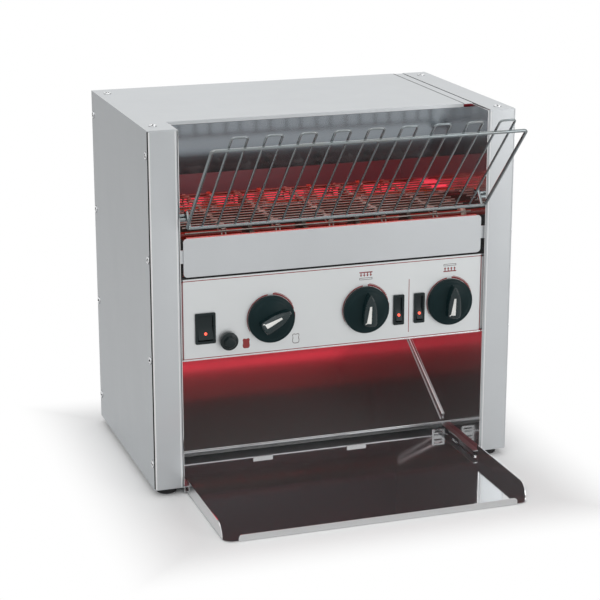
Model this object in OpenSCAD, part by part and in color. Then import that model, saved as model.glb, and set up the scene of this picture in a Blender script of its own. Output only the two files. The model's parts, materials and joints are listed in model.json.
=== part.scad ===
// Counter-top conveyor toaster: stainless sheet housing, wire belt oven, wire feed rack,
// discharge slide and pull-out tray.
// Frame: X to the right, Y to the back, Z up. The origin is under the middle of the whole object,
// on the surface that it stands on. Depths are measured back from the column faces and drops are
// measured down from the top sheet, as on the sheet-metal drawings of such a machine.

/* [Body] */
// Overall width over the side panels
body_w = 460; // [440:1:520]
// Depth from the column faces to the outside of the back panel
body_d = 287; // [280:1:340]
// Height of the body without its feet
body_h = 438; // [430:1:480]
// Outer sheet thickness
skin_t = 1.2; // [0.8:0.1:2]
// Inner sheet thickness
liner_t = 1; // [0.6:0.1:1.5]
// Outside radius of the bent corners
bend_r = 2.4; // [2.1:0.1:4]

/* [Columns and top] */
// Width of each front column
column_w = 36; // [32:1:44]
// Depth of the column's side flanges
column_flange = 24; // [18:1:40]
// How far the top sheet stands back between the columns
top_setback = 48; // [30:1:60]
// Width of the service cover's top flange, which leaves a groove over the column's inner edge
cap_w = 34; // [28:1:35]
// Width of the inner wall's top flange
wall_flange = 12; // [8:1:18]
// Height of the turned-down front hem of the top sheet
hem_h = 3; // [3:1:10]

/* [Feed mouth and oven] */
// Drop from the top sheet to the belt's upper wires
belt_drop = 125; // [118:1:140]
// Drop to the lower edge of the mirror baffle
baffle_drop = 70; // [60:1:80]
// How far the baffle leans back from top to bottom
baffle_lean = 27; // [10:1:35]
// Drop to the upper reflector
reflector_drop = 49; // [40:1:55]
// Outside diameter of a heating tube
heater_d = 10; // [8:1:12]
// Number of upper heating tubes
upper_tubes = 4; // [2:1:4]
// Number of lower heating tubes
lower_tubes = 3; // [2:1:3]
// Distance between heating tubes
tube_pitch = 42; // [36:1:44]
// Least gap behind the belt that the toast drops through
drop_gap = 60; // [50:1:66]

/* [Wire belt] */
// Diameter of the belt wire
belt_wire_d = 2.2; // [1.8:0.1:2.6]
// Distance between the belt's cross wires
belt_pitch = 12.7; // [12:0.1:13]
// Teeth on each belt sprocket
belt_teeth = 10; // [10:2:12]
// Depth from the column faces to the front roller's axis
belt_front = 32; // [30:1:40]
// Gap between the belt's edge and the inner wall
belt_edge_gap = 11; // [6:1:20]
// Number of hooked links across each belt wire
belt_links = 5; // [3:1:7]
// Width of each hooked link
link_w = 8; // [6:0.5:12]
// Thickness of a belt sprocket
sprocket_t = 5; // [3:0.5:8]
// Diameter of the belt shafts
shaft_d = 12; // [10:1:14]

/* [Chain drive] */
// Pitch of the roller chain
chain_pitch = 8; // [8:0.5:9.5]
// Teeth on each chain wheel
chain_teeth = 14; // [12:2:16]
// Diameter of the chain's rollers
chain_roller_d = 5; // [4.6:0.1:5.4]
// Wanted height of the motor shaft above the base
motor_rise = 31; // [29:1:34]
// Depth from the inside of the back panel to the motor shaft
motor_from_back = 38; // [36:1:42]
// Side of the square gearbox
gearbox_w = 56; // [50:1:58]
// Length of the gearbox
gearbox_l = 34; // [28:1:40]
// Diameter of the motor can
motor_d = 50; // [40:1:54]
// Length of the motor can
motor_l = 75; // [60:1:90]

/* [Front cover and control panel] */
// Drop to the upper edge of the front cover
cover_drop = 130.4; // [130:0.1:134]
// Height of the front cover
cover_h = 47; // [40:1:47]
// Gap between the front cover and the control panel
cover_gap = 2.6; // [1.5:0.1:5]
// Height of the control panel
panel_h = 100.5; // [100:0.5:112]
// How far the panel stands behind the column faces
panel_set = 4; // [2:0.5:6]
// Gap between the panel's ends and the inner walls
panel_side_gap = 3; // [1:0.5:5]
// Depth of the control box behind the panel
box_depth = 49; // [44:1:54]

/* [Knobs and switches] */
// Diameter of a knob's skirt
knob_d = 58; // [50:1:60]
// Height of a knob's skirt edge
knob_skirt = 6; // [4:0.5:8]
// Height of the grip over the panel
knob_h = 23; // [18:1:28]
// Gap between the knobs and the panel
knob_gap = 0.6; // [0.3:0.1:1.5]
// Drop from the panel's upper edge to the knob axes
knob_drop = 57; // [52:1:60]
// Distance from the left end of the panel to the speed knob
speed_from_left = 108; // [104:1:120]
// Distance from the right end of the panel to the lower-heat knob
heat_from_right = 41; // [38:1:44]
// Distance between the two heat knobs
heat_spacing = 110; // [104:1:122]
// Turn of the speed knob, clockwise from straight up
speed_turn = 60; // [0:5:90]
// Drop from the panel's upper edge to the switch centres
switch_drop = 61.5; // [56:0.5:66]
// Height of every switch frame
switch_h = 38; // [32:1:42]
// Width of the power switch frame
power_w = 25; // [22:1:30]
// Width of a heat switch frame
heat_switch_w = 14; // [12:0.5:16]
// Distance between the two heat switches
heat_switch_spacing = 27; // [24:1:30]
// Distance from the left end of the panel to the power switch
power_from_left = 26.5; // [24:0.5:28]
// Angle that a rocker tips between off and on
rocker_travel = 16; // [10:1:20]
// Distance from the left end of the panel to the reset button
reset_from_left = 54.5; // [53:0.5:60]
// Diameter of the reset cap
reset_d = 22; // [16:1:24]
// Travel of the reset cap
reset_travel = 2.5; // [1:0.5:3]

/* [Feed rack] */
// Gap between the rack's side wires and the inner walls
rack_side_gap = 3.5; // [3:0.5:20]
// Length of the rack along its slope
rack_l = 157; // [120:1:170]
// Angle of the rack above the horizontal
rack_slope = 45.5; // [40:0.5:55]
// Drop to the rack's lower rail
rack_drop = 115; // [108:1:116]
// How far the lower rail stands in front of the columns
rack_out = 9; // [7:0.5:12]
// Diameter of the frame wire
rack_wire_d = 4; // [4:0.5:5]
// Bend radius of the frame wire's corners
rack_corner_r = 3.5; // [3:0.5:8]
// Diameter of the hairpin wires
hairpin_d = 2.7; // [2.5:0.1:3.6]
// Number of hairpins
hairpins = 9; // [5:1:10]
// Width of each hairpin
hairpin_w = 21.4; // [16:0.1:22]
// How far the hairpins reach past the upper rail
hairpin_reach = 19; // [10:1:26]
// Diameter of the pins that carry the rack
rack_pin_d = 5; // [4:0.5:6]

/* [Slide and tray] */
// Depth from the column faces to the slide's lower edge
slide_start = 112; // [106:1:118]
// Slope of the slide above the horizontal
slide_slope = 30.5; // [28:0.5:31]
// Height of the slide's upturned side flanges
slide_flange = 7; // [4:0.5:12]
// How far the tray reaches in front of the columns
tray_reach = 158; // [120:1:180]
// Height of the tray's side flanges
tray_flange_h = 18; // [10:1:22]
// Height of the tray's front lip
tray_lip_h = 8; // [5:1:10]
// Radius of the tray's front corners
tray_corner_r = 12; // [10:1:24]
// Outward lean of the tray's side flanges
tray_splay = 2; // [0:1:10]
// Gap under the tray
tray_rise = 0.5; // [0.3:0.1:1]
// Height of the base pan's turned-up flange
base_flange = 15; // [10:1:20]

/* [Feet, screws and cable gland] */
// Height of the feet
foot_h = 9; // [8:0.5:14]
// Diameter of the feet
foot_d = 26; // [20:1:30]
// Distance from a foot's axis to the body's sides
foot_inset = 19; // [16:1:22]
// Diameter of a cover screw's head
screw_head_d = 9; // [6:0.5:9]
// Height of a cover screw's head
screw_head_h = 1.8; // [1.2:0.1:2.4]
// Diameter of a cover screw's thread
screw_d = 4; // [3:0.5:4.5]
// How far the cable gland stands behind the back panel
gland_out = 14; // [10:1:20]
// Side of the cooling fan's frame
fan_w = 80; // [70:5:80]
// Thickness of the cooling fan
fan_t = 25; // [20:1:26]

/* [Hidden] */
$fn = 32;

// Colours
steel = "#c3c7ca";
bright = "#d9dcde";
dark_plastic = "#10191c";
rubber = "#17181a";
zinc = "#8e9296";
ceramic = "#e4dfd2";
quartz = "#d8442c";
signal = "#f4f4ee";
lamp_red = "#e0281c";

// Clearances
running = 0.05;     // radial clearance of a shaft in its bush
seat = 0.2;         // clearance of a part in its cut-out
guide_gap = 0.4;    // clearance of the sliding tray
wire_gap = 0.3;     // clearance between hooked wires
cut = 1;            // how far a cutting tool runs past a face

// Main planes
side_x = body_w / 2;
front_y = (tray_reach - body_d - gland_out) / 2;
top_z = foot_h + body_h;
base_z = foot_h + skin_t;
wall_x = side_x - column_w - liner_t;   // inner face of each inner wall
panel_x = wall_x - panel_side_gap;      // ends of the control panel
back_in = body_d - skin_t;              // depth to the inside of the back panel
roof_z = top_z - skin_t;

// Belt geometry
belt_r = belt_pitch * belt_teeth / (2 * PI);
belt_z = top_z - belt_drop;
shaft_z = belt_z - belt_r;
belt_steps = floor((back_in - drop_gap - liner_t - belt_r - belt_wire_d / 2 - 5 - belt_front) / belt_pitch);
drive_back = belt_front + belt_steps * belt_pitch;
belt_x = wall_x - belt_edge_gap;
link_step = 2 * belt_x / (belt_links + 0.4);
guide_back = back_in - 5;
oven_z = (top_z - baffle_drop + top_z - reflector_drop) / 2;
tube_out = column_w / 3;
bush_d = heater_d + 6;

// Chain geometry: each straight run is a whole number of links, and the motor's height follows from it
wheel_r = chain_pitch / (2 * sin(180 / chain_teeth));
motor_back = back_in - motor_from_back;
chain_span = norm([motor_back - drive_back, shaft_z - base_z - motor_rise]);
chain_steps = round(chain_span / chain_pitch);
chain_links = 2 * chain_steps + chain_teeth;
chain_l = chain_steps * chain_pitch;
motor_z = shaft_z - sqrt(pow(chain_l, 2) - pow(motor_back - drive_back, 2));
chain_x = (wall_x + liner_t + side_x - skin_t) / 2 + 3;
chain_tilt = acos((shaft_z - motor_z) / chain_l);

// Rack geometry
rack_w = 2 * (wall_x - rack_side_gap);

// Panel geometry
cover_top = top_z - cover_drop;
panel_top = cover_top - cover_h - cover_gap;
panel_bottom = panel_top - panel_h;
panel_y = front_y + panel_set;
knob_z = panel_top - knob_drop;
switch_z = panel_top - switch_drop;
speed_x = -panel_x + speed_from_left;
lower_heat_x = panel_x - heat_from_right;
upper_heat_x = lower_heat_x - heat_spacing;
heat_switch_x = (upper_heat_x + lower_heat_x) / 2 + 1.5;
power_x = -panel_x + power_from_left;
reset_x = -panel_x + reset_from_left;
reset_z = panel_bottom + 21.5;
spindle_d = 6;
tab_step = 30;      // how far the tray's tabs stand in front of the slide
tab_h = 12;         // height of the tall tab
regulator = [36, 44, 32];   // width, height and depth of a heat regulator
rocker_r = 15;
rocker_depth = 3;

// Rack geometry: its lower rail, and the crest of the hooks that hang on the pins
rail_y = front_y - rack_out;
rail_z = top_z - rack_drop;
hook_back = 16;
hook_up = 16;
hook_tip = 8;
lean_up = 13;

slide_end = guide_back - 4;
bush_od = shaft_d + 4;
gland_x = -side_x / 2 - 42;
gland_z = base_z + 40;

function at(depth) = front_y + depth;
function slide_z(depth) = base_z + (depth - slide_start) * tan(slide_slope);

// ---------- shared shapes ----------

module box(low, high) {
    translate(low) cube(high - low);
}

module rod_x(x0, x1, y, z, d) {
    translate([x0, y, z]) rotate([0, 90, 0]) cylinder(d = d, h = x1 - x0);
}

module rod_y(x, y0, y1, z, d) {
    translate([x, y0, z]) rotate([-90, 0, 0]) cylinder(d = d, h = y1 - y0);
}

module both_sides() {
    children();
    mirror([1, 0, 0]) children();
}

// A flat outline in the plane of the front, extruded towards the back from depth y
module facing(y, t) {
    translate([0, y + t, 0]) rotate([90, 0, 0]) linear_extrude(height = t) children();
}

// A side outline drawn as [depth, height], extruded along X from x0 to x1
module side_profile(x0, x1) {
    translate([x0, 0, 0]) rotate([90, 0, 90]) linear_extrude(height = x1 - x0) children();
}

module rounded(w, h, r) {
    translate([-w / 2 + r, -h / 2]) square([w - 2 * r, h]);
    translate([-w / 2, -h / 2 + r]) square([w, h - 2 * r]);
    for (x = [-1, 1], y = [-1, 1])
        translate([x * (w / 2 - r), y * (h / 2 - r)]) circle(r);
}

module slot(l, w) {
    square([l - w, w], center = true);
    for (x = [-1, 1]) translate([x * (l - w) / 2, 0]) circle(d = w);
}

// A straight wire between two points, with a slightly fuller ball at each end that closes the bend
module wire(p, q, d) {
    v = q - p;
    translate(p) rotate([0, acos(v[2] / norm(v)), atan2(v[1], v[0])]) cylinder(d = d, h = norm(v));
    for (end = [p, q]) translate(end) sphere(d = d + 0.3);
}

// ---------- housing ----------

module front_rounded(w, d, r) {
    translate([r, 0]) square([w - 2 * r, d]);
    translate([0, r]) square([w, d - r]);
    for (x = [r, w - r]) translate([x, r]) circle(r);
}

// Folded channel that makes a front column, open to the back
module column() {
    w = column_w - skin_t;
    translate([-side_x + skin_t, front_y, base_z]) linear_extrude(height = roof_z - base_z)
        difference() {
            front_rounded(w, column_flange, bend_r);
            translate([skin_t, skin_t])
                front_rounded(w - 2 * skin_t, column_flange, bend_r - skin_t);
            translate([w - skin_t - cut, column_flange * 0.7])
                square([skin_t + 2 * cut, column_flange]);
        }
}

module left_front_column() color(steel) column();

module right_front_column() color(steel) mirror([1, 0, 0]) column();

module base_pan() color(steel) {
    edge = wall_x - 7;
    difference() {
        box([-side_x + skin_t, at(0.5), foot_h], [side_x - skin_t, at(back_in), base_z]);
        box([-edge, at(-cut), foot_h - cut], [edge, at(slide_start - 2), base_z + cut]);
        fan_place() {
            cylinder(d = fan_w - 14, h = 4 * cut, center = true);
            fan_holes(4 * cut);
        }
        foot_places() cylinder(d = 5, h = 3 * cut);
    }
    both_sides() box([-side_x + skin_t, at(column_flange + 2), base_z],
        [-side_x + 2 * skin_t, at(back_in), base_z + base_flange]);
}

module foot_places() {
    both_sides() for (y = [at(foot_inset), at(body_d - foot_inset - 6)])
        translate([side_x - foot_inset, y, foot_h - cut]) children();
}

module side_sheet(height) {
    box([-side_x, at(bend_r), foot_h], [-side_x + skin_t, at(body_d), height]);
}

module left_side_panel() color(steel) difference() {
    side_sheet(roof_z);
    side_screw_places() translate([0, 0, -skin_t - cut]) cylinder(d = screw_d + 0.4, h = 2 * skin_t + cut);
}

// Service cover over the chain: side sheet and top flange in one, with a rounded fold
module right_side_cover() color(steel) difference() {
    union() {
        facing(at(bend_r), body_d - bend_r) {
            translate([side_x - skin_t, foot_h]) square([skin_t, body_h - bend_r]);
            translate([side_x - cap_w, roof_z]) square([cap_w - bend_r, skin_t]);
            translate([side_x - bend_r, top_z - bend_r]) intersection() {
                difference() {
                    circle(bend_r);
                    square(bend_r - skin_t);
                }
                square(bend_r);
            }
        }
        box([side_x - cap_w, at(0.5), roof_z], [side_x - bend_r, at(bend_r + 1), top_z]);
    }
    mirror([1, 0, 0]) side_screw_places()
        translate([0, 0, -skin_t - cut]) cylinder(d = screw_d + 0.4, h = 2 * skin_t + cut);
    cap_screw_places() translate([0, 0, -skin_t - cut]) cylinder(d = screw_d + 0.4, h = 2 * skin_t + cut);
}

module top_cover() color(steel) {
    right = wall_x + liner_t - wall_flange - 0.4;
    ear = -side_x + column_w - skin_t;
    difference() {
        box([-side_x, at(0.5), roof_z], [right, at(body_d), top_z]);
        box([ear, at(-cut), roof_z - cut], [right + cut, at(top_setback), top_z + cut]);
        top_screw_places() translate([0, 0, -skin_t - cut]) cylinder(d = screw_d + 0.4, h = 2 * skin_t + cut);
    }
    box([-wall_x, at(top_setback), roof_z - hem_h], [right, at(top_setback) + skin_t, roof_z]);
}

module inner_wall(top) {
    x0 = -wall_x - liner_t;
    difference() {
        box([x0, at(0.5), base_z], [-wall_x, at(back_in - 2), top]);
        shaft_places() cylinder(d = bush_od, h = 4 * side_x, center = true);
        heater_places() cylinder(d = bush_d + 2 * seat, h = 4 * side_x, center = true);
        box([x0 - cut, at(12), panel_bottom + 12], [-wall_x + cut, at(box_depth - 6), panel_top - 12]);
    }
    box([x0 - 10, at(column_flange + 2), base_z], [x0, at(back_in - 2), base_z + liner_t]);
}

// Axes along X at the drive and idler shafts
module shaft_places() {
    for (b = [belt_front, drive_back]) translate([0, at(b), shaft_z]) rotate([0, 90, 0]) children();
}

module heater_places() {
    for (i = [0:upper_tubes - 1]) translate([0, upper_tube_y(i), oven_z]) rotate([0, 90, 0]) children();
    for (i = [0:lower_tubes - 1]) translate([0, lower_tube_y(i), shaft_z]) rotate([0, 90, 0]) children();
}

// Lower tubes lie between the belt's shafts, upper ones between the baffle and the belt's rear end
function lower_tube_y(i) = at((belt_front + drive_back) / 2 + (i - (lower_tubes - 1) / 2) * tube_pitch);
function upper_tube_y(i) = at((top_setback + baffle_lean + drive_back + belt_r) / 2
    + (i - (upper_tubes - 1) / 2) * tube_pitch);

module left_inner_wall() color(bright) inner_wall(roof_z);

module right_inner_wall() color(bright) difference() {
    union() {
        mirror([1, 0, 0]) inner_wall(top_z - liner_t);
        box([wall_x + liner_t - wall_flange, at(top_setback), top_z - liner_t],
            [wall_x + liner_t, at(back_in - 2), top_z]);
    }
    translate([0, at(motor_back), motor_z]) rotate([0, 90, 0]) cylinder(d = 22, h = side_x);
}

module back_panel() color(steel) difference() {
    box([-side_x + skin_t, at(back_in), foot_h], [side_x - skin_t, at(body_d), roof_z]);
    for (row = [0:6], side = [-1, 1])
        translate([side * side_x / 2, at(body_d), top_z - 70 - row * 12]) rotate([90, 0, 0])
            linear_extrude(height = 4 * cut, center = true) slot(90, 4);
    for (row = [0:3])
        translate([0, at(body_d), base_z + 34 + row * 12]) rotate([90, 0, 0])
            linear_extrude(height = 4 * cut, center = true) slot(120, 4);
    rod_y(gland_x, at(back_in - cut), at(body_d + cut), gland_z, 20);
}

module upper_baffle() color(bright) {
    top = roof_z - hem_h - 0.3;
    y0 = top_setback;
    side_profile(-wall_x, wall_x) polygon([
        [at(y0), top], [at(y0 + baffle_lean), top_z - baffle_drop],
        [at(y0 + baffle_lean) + liner_t, top_z - baffle_drop],
        [at(y0) + liner_t, top]
    ]);
}

module upper_reflector() color(bright) {
    z = top_z - reflector_drop;
    y0 = at(top_setback + baffle_lean);
    box([-wall_x, y0, z], [wall_x, at(guide_back), z + liner_t]);
    both_sides() box([-wall_x, y0, z], [-wall_x + liner_t, at(guide_back), z + 12]);
}

module lower_reflector() color(bright) {
    z = shaft_z - belt_r - 12;
    box([-wall_x, at(box_depth + 2), z], [wall_x, at(drive_back + belt_r), z + liner_t]);
    both_sides() box([-wall_x, at(box_depth + 2), z], [-wall_x + liner_t, at(drive_back), z + 7]);
}

// Rear guide: a vertical sheet behind the belt, lapped behind the upturned end of the slide
module rear_guide() color(bright) {
    y = at(guide_back);
    box([-wall_x, y, slide_z(slide_end) + 13], [wall_x, y + liner_t, top_z - reflector_drop + liner_t]);
}

module discharge_slide() color(bright) {
    t = liner_t / cos(slide_slope);
    side_profile(-wall_x, wall_x) polygon([
        [at(slide_start), base_z], [at(slide_end), slide_z(slide_end)],
        [at(guide_back), slide_z(slide_end) + 12], [at(guide_back), slide_z(slide_end) + 24],
        [at(guide_back) - liner_t, slide_z(slide_end) + 24],
        [at(guide_back) - liner_t, slide_z(slide_end) + 12 + t],
        [at(slide_end) - liner_t * 0.6, slide_z(slide_end) + t],
        [at(slide_start), base_z + t]
    ]);
    // upturned side flanges that keep crumbs off the inner walls
    first = slide_start + 4;
    both_sides() side_profile(wall_x - liner_t, wall_x) polygon([
        [at(first), slide_z(first) + t / 2], [at(slide_end - 4), slide_z(slide_end - 4) + t / 2],
        [at(slide_end - 4), slide_z(slide_end - 4) + slide_flange], [at(first), slide_z(first) + slide_flange]
    ]);
}

// ---------- front ----------

module front_cover() color(steel) {
    r = 5;
    x = wall_x - 4;
    translate([0, 0, cover_top - cover_h / 2]) facing(panel_y - 1, skin_t) rounded(2 * x, cover_h, r);
    // return flanges behind the plate, and the tabs that reach the inner walls
    box([-x + r, panel_y - 1 + skin_t, cover_top - skin_t], [x - r, panel_y + 5, cover_top]);
    box([-x + r, panel_y - 1 + skin_t, cover_top - cover_h], [x - r, panel_y + 5, cover_top - cover_h + skin_t]);
    both_sides() box([-wall_x, panel_y - 1 + skin_t, cover_top - 30], [-x + 8, panel_y + 1.6, cover_top - 14]);
}

module control_panel() color(bright) {
    difference() {
        box([-panel_x, panel_y, panel_bottom], [panel_x, panel_y + skin_t, panel_top]);
        for (x = [speed_x, upper_heat_x, lower_heat_x])
            rod_y(x, panel_y - cut, panel_y + skin_t + cut, knob_z, 10);
        rod_y(reset_x, panel_y - cut, panel_y + skin_t + cut, reset_z, 12);
        switch_places() box([-switch_body_w($w) / 2 - seat, -cut, -switch_h / 2 + 2],
            [switch_body_w($w) / 2 + seat, skin_t + cut, switch_h / 2 - 2]);
    }
    box([-panel_x, panel_y + skin_t, panel_bottom], [panel_x, at(box_depth), panel_bottom + skin_t]);
    // end tabs that screw to the inner walls
    both_sides() box([-wall_x, panel_y + skin_t, panel_bottom + 4],
        [-panel_x + skin_t, panel_y + 8, panel_top - 4]);
}

// Places of the three switches; $w is the width of the frame there
module switch_places() {
    for (s = [[power_x, power_w], [heat_switch_x - heat_switch_spacing / 2, heat_switch_w],
        [heat_switch_x + heat_switch_spacing / 2, heat_switch_w]]) {
        $w = s[1];
        translate([s[0], panel_y, switch_z]) children();
    }
}

function switch_body_w(w) = w - 3;

module control_box() color(steel) {
    y = at(box_depth);
    box([-wall_x, y, panel_bottom], [wall_x, y + liner_t, panel_top - 1]);
    box([-wall_x, panel_y + skin_t + 1, panel_top - 1 - liner_t], [wall_x, y, panel_top - 1]);
}

// ---------- oven ----------

module belt_support() color(steel) {
    y0 = at(belt_front + 16);
    y1 = at(drive_back - 16);
    top = belt_z - belt_wire_d / 2 - wire_gap;
    for (x = [-1, 1]) box([x * link_step - 1, y0, top - 9], [x * link_step + 1, y1, top]);
    for (i = [0, 1]) {
        y = lower_tube_y(i) + tube_pitch / 2;
        box([-wall_x, y - 1, top - 24], [wall_x, y + 1, top - 9]);
    }
}

module heating_tube(y, z) {
    rod_x(-wall_x - tube_out, wall_x + tube_out, y, z, heater_d);
    both_sides() rod_x(-wall_x - tube_out - 6, -wall_x - tube_out, y, z, heater_d - 4);
}

module upper_heaters() color(quartz)
    for (i = [0:upper_tubes - 1]) heating_tube(upper_tube_y(i), oven_z);

module lower_heaters() color(quartz)
    for (i = [0:lower_tubes - 1]) heating_tube(lower_tube_y(i), shaft_z);

// Ceramic bush: a collar outside the inner wall and a neck through it
module heater_bushes() color(ceramic) both_sides() heater_places() difference() {
    translate([0, 0, wall_x - 3]) union() {
        cylinder(d = bush_d, h = liner_t + 6);
        translate([0, 0, liner_t + 3]) cylinder(d = bush_d + 5, h = 3);
    }
    translate([0, 0, wall_x - 3 - cut]) cylinder(d = heater_d + 2 * running, h = liner_t + 6 + 2 * cut);
}

module shaft_bushes() color("#b08d57") both_sides() shaft_places() difference() {
    translate([0, 0, wall_x - 2]) union() {
        cylinder(d = bush_od, h = liner_t + 6);
        translate([0, 0, liner_t + 2]) cylinder(d = bush_od + 8, h = 3);
    }
    translate([0, 0, wall_x - 2 - cut]) cylinder(d = shaft_d + 2 * running, h = liner_t + 6 + 2 * cut);
}

// Bracket with a pull-screw that holds each front bush against the belt's tension
module idler_tensioners() color(zinc) both_sides() {
    x0 = -wall_x - liner_t;
    y0 = at(belt_front);
    z0 = shaft_z - bush_od / 2 - 4;
    box([x0 - 10, y0 - 12, z0 - 18], [x0, y0 + 12, z0 - 16]);
    box([x0 - 2, y0 - 12, z0 - 16], [x0, y0 + 12, z0 - 3]);
    translate([x0 - 6, y0, z0 - 24]) {
        cylinder(d = 4, h = 20);
        cylinder(d = 8, h = 4, $fn = 6);
    }
}

// ---------- wire belt ----------

// Point [depth, height, turn] of belt wire number i; wires are a pitch apart along the loop
function belt_point(i) =
    let (arc = belt_teeth / 2, step = 360 / belt_teeth)
    i <= belt_steps ? [belt_front + i * belt_pitch, belt_z]
    : i <= belt_steps + arc ? let (a = 90 - (i - belt_steps) * step)
        [drive_back + belt_r * cos(a), shaft_z + belt_r * sin(a)]
    : i <= 2 * belt_steps + arc ? [drive_back - (i - belt_steps - arc) * belt_pitch, shaft_z - belt_r]
    : let (a = 270 - (i - 2 * belt_steps - arc) * step)
        [belt_front + belt_r * cos(a), shaft_z + belt_r * sin(a)];

// One cross wire with its hooked links, which reach to just short of the next wire
module belt_wire(i) {
    p = belt_point(i);
    q = belt_point(i + 1);
    v = q - p;
    rod_x(-belt_x, belt_x, at(p[0]), p[1], belt_wire_d);
    reach = norm(v) - belt_wire_d / 2 - wire_gap;
    for (k = [0:belt_links - 1], side = [-1, 1])
        translate([(k - (belt_links - 1) / 2) * link_step + side * link_w / 2, at(p[0]), p[1]])
            rotate([atan2(-v[0], v[1]), 0, 0]) cylinder(d = belt_wire_d - 0.4, h = reach);
}

module conveyor_belt() color("#8d8883")
    for (i = [0:2 * belt_steps + belt_teeth - 1]) belt_wire(i);

// Toothed disc whose teeth stand between the belt's wires
module belt_sprocket_outline() {
    root = belt_r - belt_wire_d / 2 - wire_gap;
    circle(root);
    for (i = [0:belt_teeth - 1]) rotate((i + (belt_teeth % 4 == 2 ? 0 : 0.5)) * 360 / belt_teeth)
        polygon([[root - 2, -3.4], [belt_r, -2.6], [belt_r + 2.4, -1.2],
            [belt_r + 2.4, 1.2], [belt_r, 2.6], [root - 2, 3.4]]);
}

// Sprockets run half-way between the belt's rows of links
module sprocket_row(bore) {
    for (k = [0:belt_links - 2])
        translate([(k - (belt_links - 2) / 2) * link_step, 0, 0]) rotate([90, 0, 90]) {
            linear_extrude(height = sprocket_t, center = true) difference() {
                belt_sprocket_outline();
                circle(d = bore);
            }
            linear_extrude(height = sprocket_t + 12, center = true) difference() {
                circle(d = shaft_d + 8);
                circle(d = bore);
            }
        }
}

module belt_sprockets() color(zinc) translate([0, at(drive_back), shaft_z]) sprocket_row(shaft_d);

module drive_shaft() color(zinc) {
    rod_x(-wall_x - liner_t - 6, chain_x + 6, at(drive_back), shaft_z, shaft_d);
}

module idler_roller() color(zinc) {
    rod_x(-wall_x - liner_t - 6, wall_x + liner_t + 6, at(belt_front), shaft_z, shaft_d);
    translate([0, at(belt_front), shaft_z]) sprocket_row(shaft_d - 1);
}

// ---------- chain drive ----------

module chainwheel_outline() {
    difference() {
        circle(wheel_r + 1.2);
        for (i = [0:chain_teeth - 1]) rotate(i * 360 / chain_teeth)
            for (out = [0, 1.6]) translate([wheel_r + out, 0]) circle(d = chain_roller_d + 0.3 + out * 0.8);
    }
}

// Chain wheel about the X axis; rollers lie at the ends of the straight runs
module chainwheel(bore) {
    rotate([chain_tilt, 0, 0]) rotate([90, 0, 90]) {
        linear_extrude(height = 2.8, center = true) difference() {
            chainwheel_outline();
            circle(d = bore);
        }
        translate([0, 0, -4.4]) linear_extrude(height = 3) difference() {
            circle(d = bore + 8);
            circle(d = bore);
        }
    }
}

module shaft_chainwheel() color(zinc)
    translate([chain_x, at(drive_back), shaft_z]) chainwheel(shaft_d);

module motor_chainwheel() color(zinc) translate([chain_x, at(motor_back), motor_z]) {
    chainwheel(7);
    rod_x(wall_x - chain_x, 6, 0, 0, 8);
}

// Oval loop of the chain: half-width w about the pitch line
module chain_loop(r) {
    circle(r);
    translate([0, -chain_l]) circle(r);
    translate([-r, -chain_l]) square([2 * r, chain_l]);
}

// Place of chain roller number i, in the plane of the chain with the drive shaft at the origin
function chain_point(i) =
    let (run = chain_steps, arc = chain_teeth / 2, step = 360 / chain_teeth)
    i < run ? [wheel_r, -i * chain_pitch]
    : i < run + arc ? let (a = -(i - run) * step) [wheel_r * cos(a), -chain_l + wheel_r * sin(a)]
    : i < 2 * run + arc ? [-wheel_r, -chain_l + (i - run - arc) * chain_pitch]
    : let (a = 180 - (i - 2 * run - arc) * step) [wheel_r * cos(a), wheel_r * sin(a)];

module drive_chain() color("#6f7275")
    translate([chain_x, at(drive_back), shaft_z]) rotate([chain_tilt, 0, 0]) rotate([90, 0, 90]) {
        for (z = [-2.8, 1.8]) translate([0, 0, z]) linear_extrude(height = 1) difference() {
            chain_loop(wheel_r + 3);
            chain_loop(wheel_r - 3);
        }
        for (i = [0:chain_links - 1]) translate([chain_point(i)[0], chain_point(i)[1], -1.8])
            cylinder(d = chain_roller_d, h = 3.6);
    }

module gearmotor() color("#5c6166") translate([0, at(motor_back), motor_z]) {
    box([wall_x - gearbox_l, -gearbox_w / 2, -gearbox_w / 2 + 1], [wall_x, gearbox_w / 2, gearbox_w / 2 - 1]);
    rod_x(wall_x - gearbox_l - motor_l, wall_x - gearbox_l, 0, 0, motor_d);
    rod_x(wall_x - gearbox_l - motor_l - 4, wall_x - gearbox_l - motor_l, 0, 0, 18);
}

// ---------- services ----------

module terminal_block() color("#d9d4c6") {
    x = gland_x - 27;
    y = at(back_in - 50);
    box([x, y, base_z], [x + 50, y + 16, base_z + 12]);
    for (i = [0:3]) box([x + 3 + i * 11, y + 3, base_z + 12], [x + 11 + i * 11, y + 13, base_z + 20]);
}

module cable_gland() color(rubber) {
    y = at(body_d);
    rod_y(gland_x, at(back_in - 6), y, gland_z, 19.6);
    difference() {
        union() {
            translate([gland_x, y, gland_z]) rotate([-90, 0, 0]) cylinder(d = 30, h = 5, $fn = 6);
            translate([gland_x, y + 5, gland_z]) rotate([-90, 0, 0]) cylinder(d1 = 26, d2 = 16, h = gland_out - 5);
        }
        rod_y(gland_x, y + 2, y + gland_out + cut, gland_z, 9);
    }
    translate([gland_x, at(back_in - 6), gland_z]) rotate([-90, 0, 0]) cylinder(d = 26, h = 6, $fn = 6);
}

module fan_place() {
    translate([-wall_x / 2 + 10, at(back_in - fan_w / 2 - 14), foot_h]) children();
}

module fan_holes(h) {
    for (x = [-1, 1], y = [-1, 1])
        translate([x * fan_w * 0.447, y * fan_w * 0.447, 0]) cylinder(d = 4.4, h = h, center = true);
}

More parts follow.
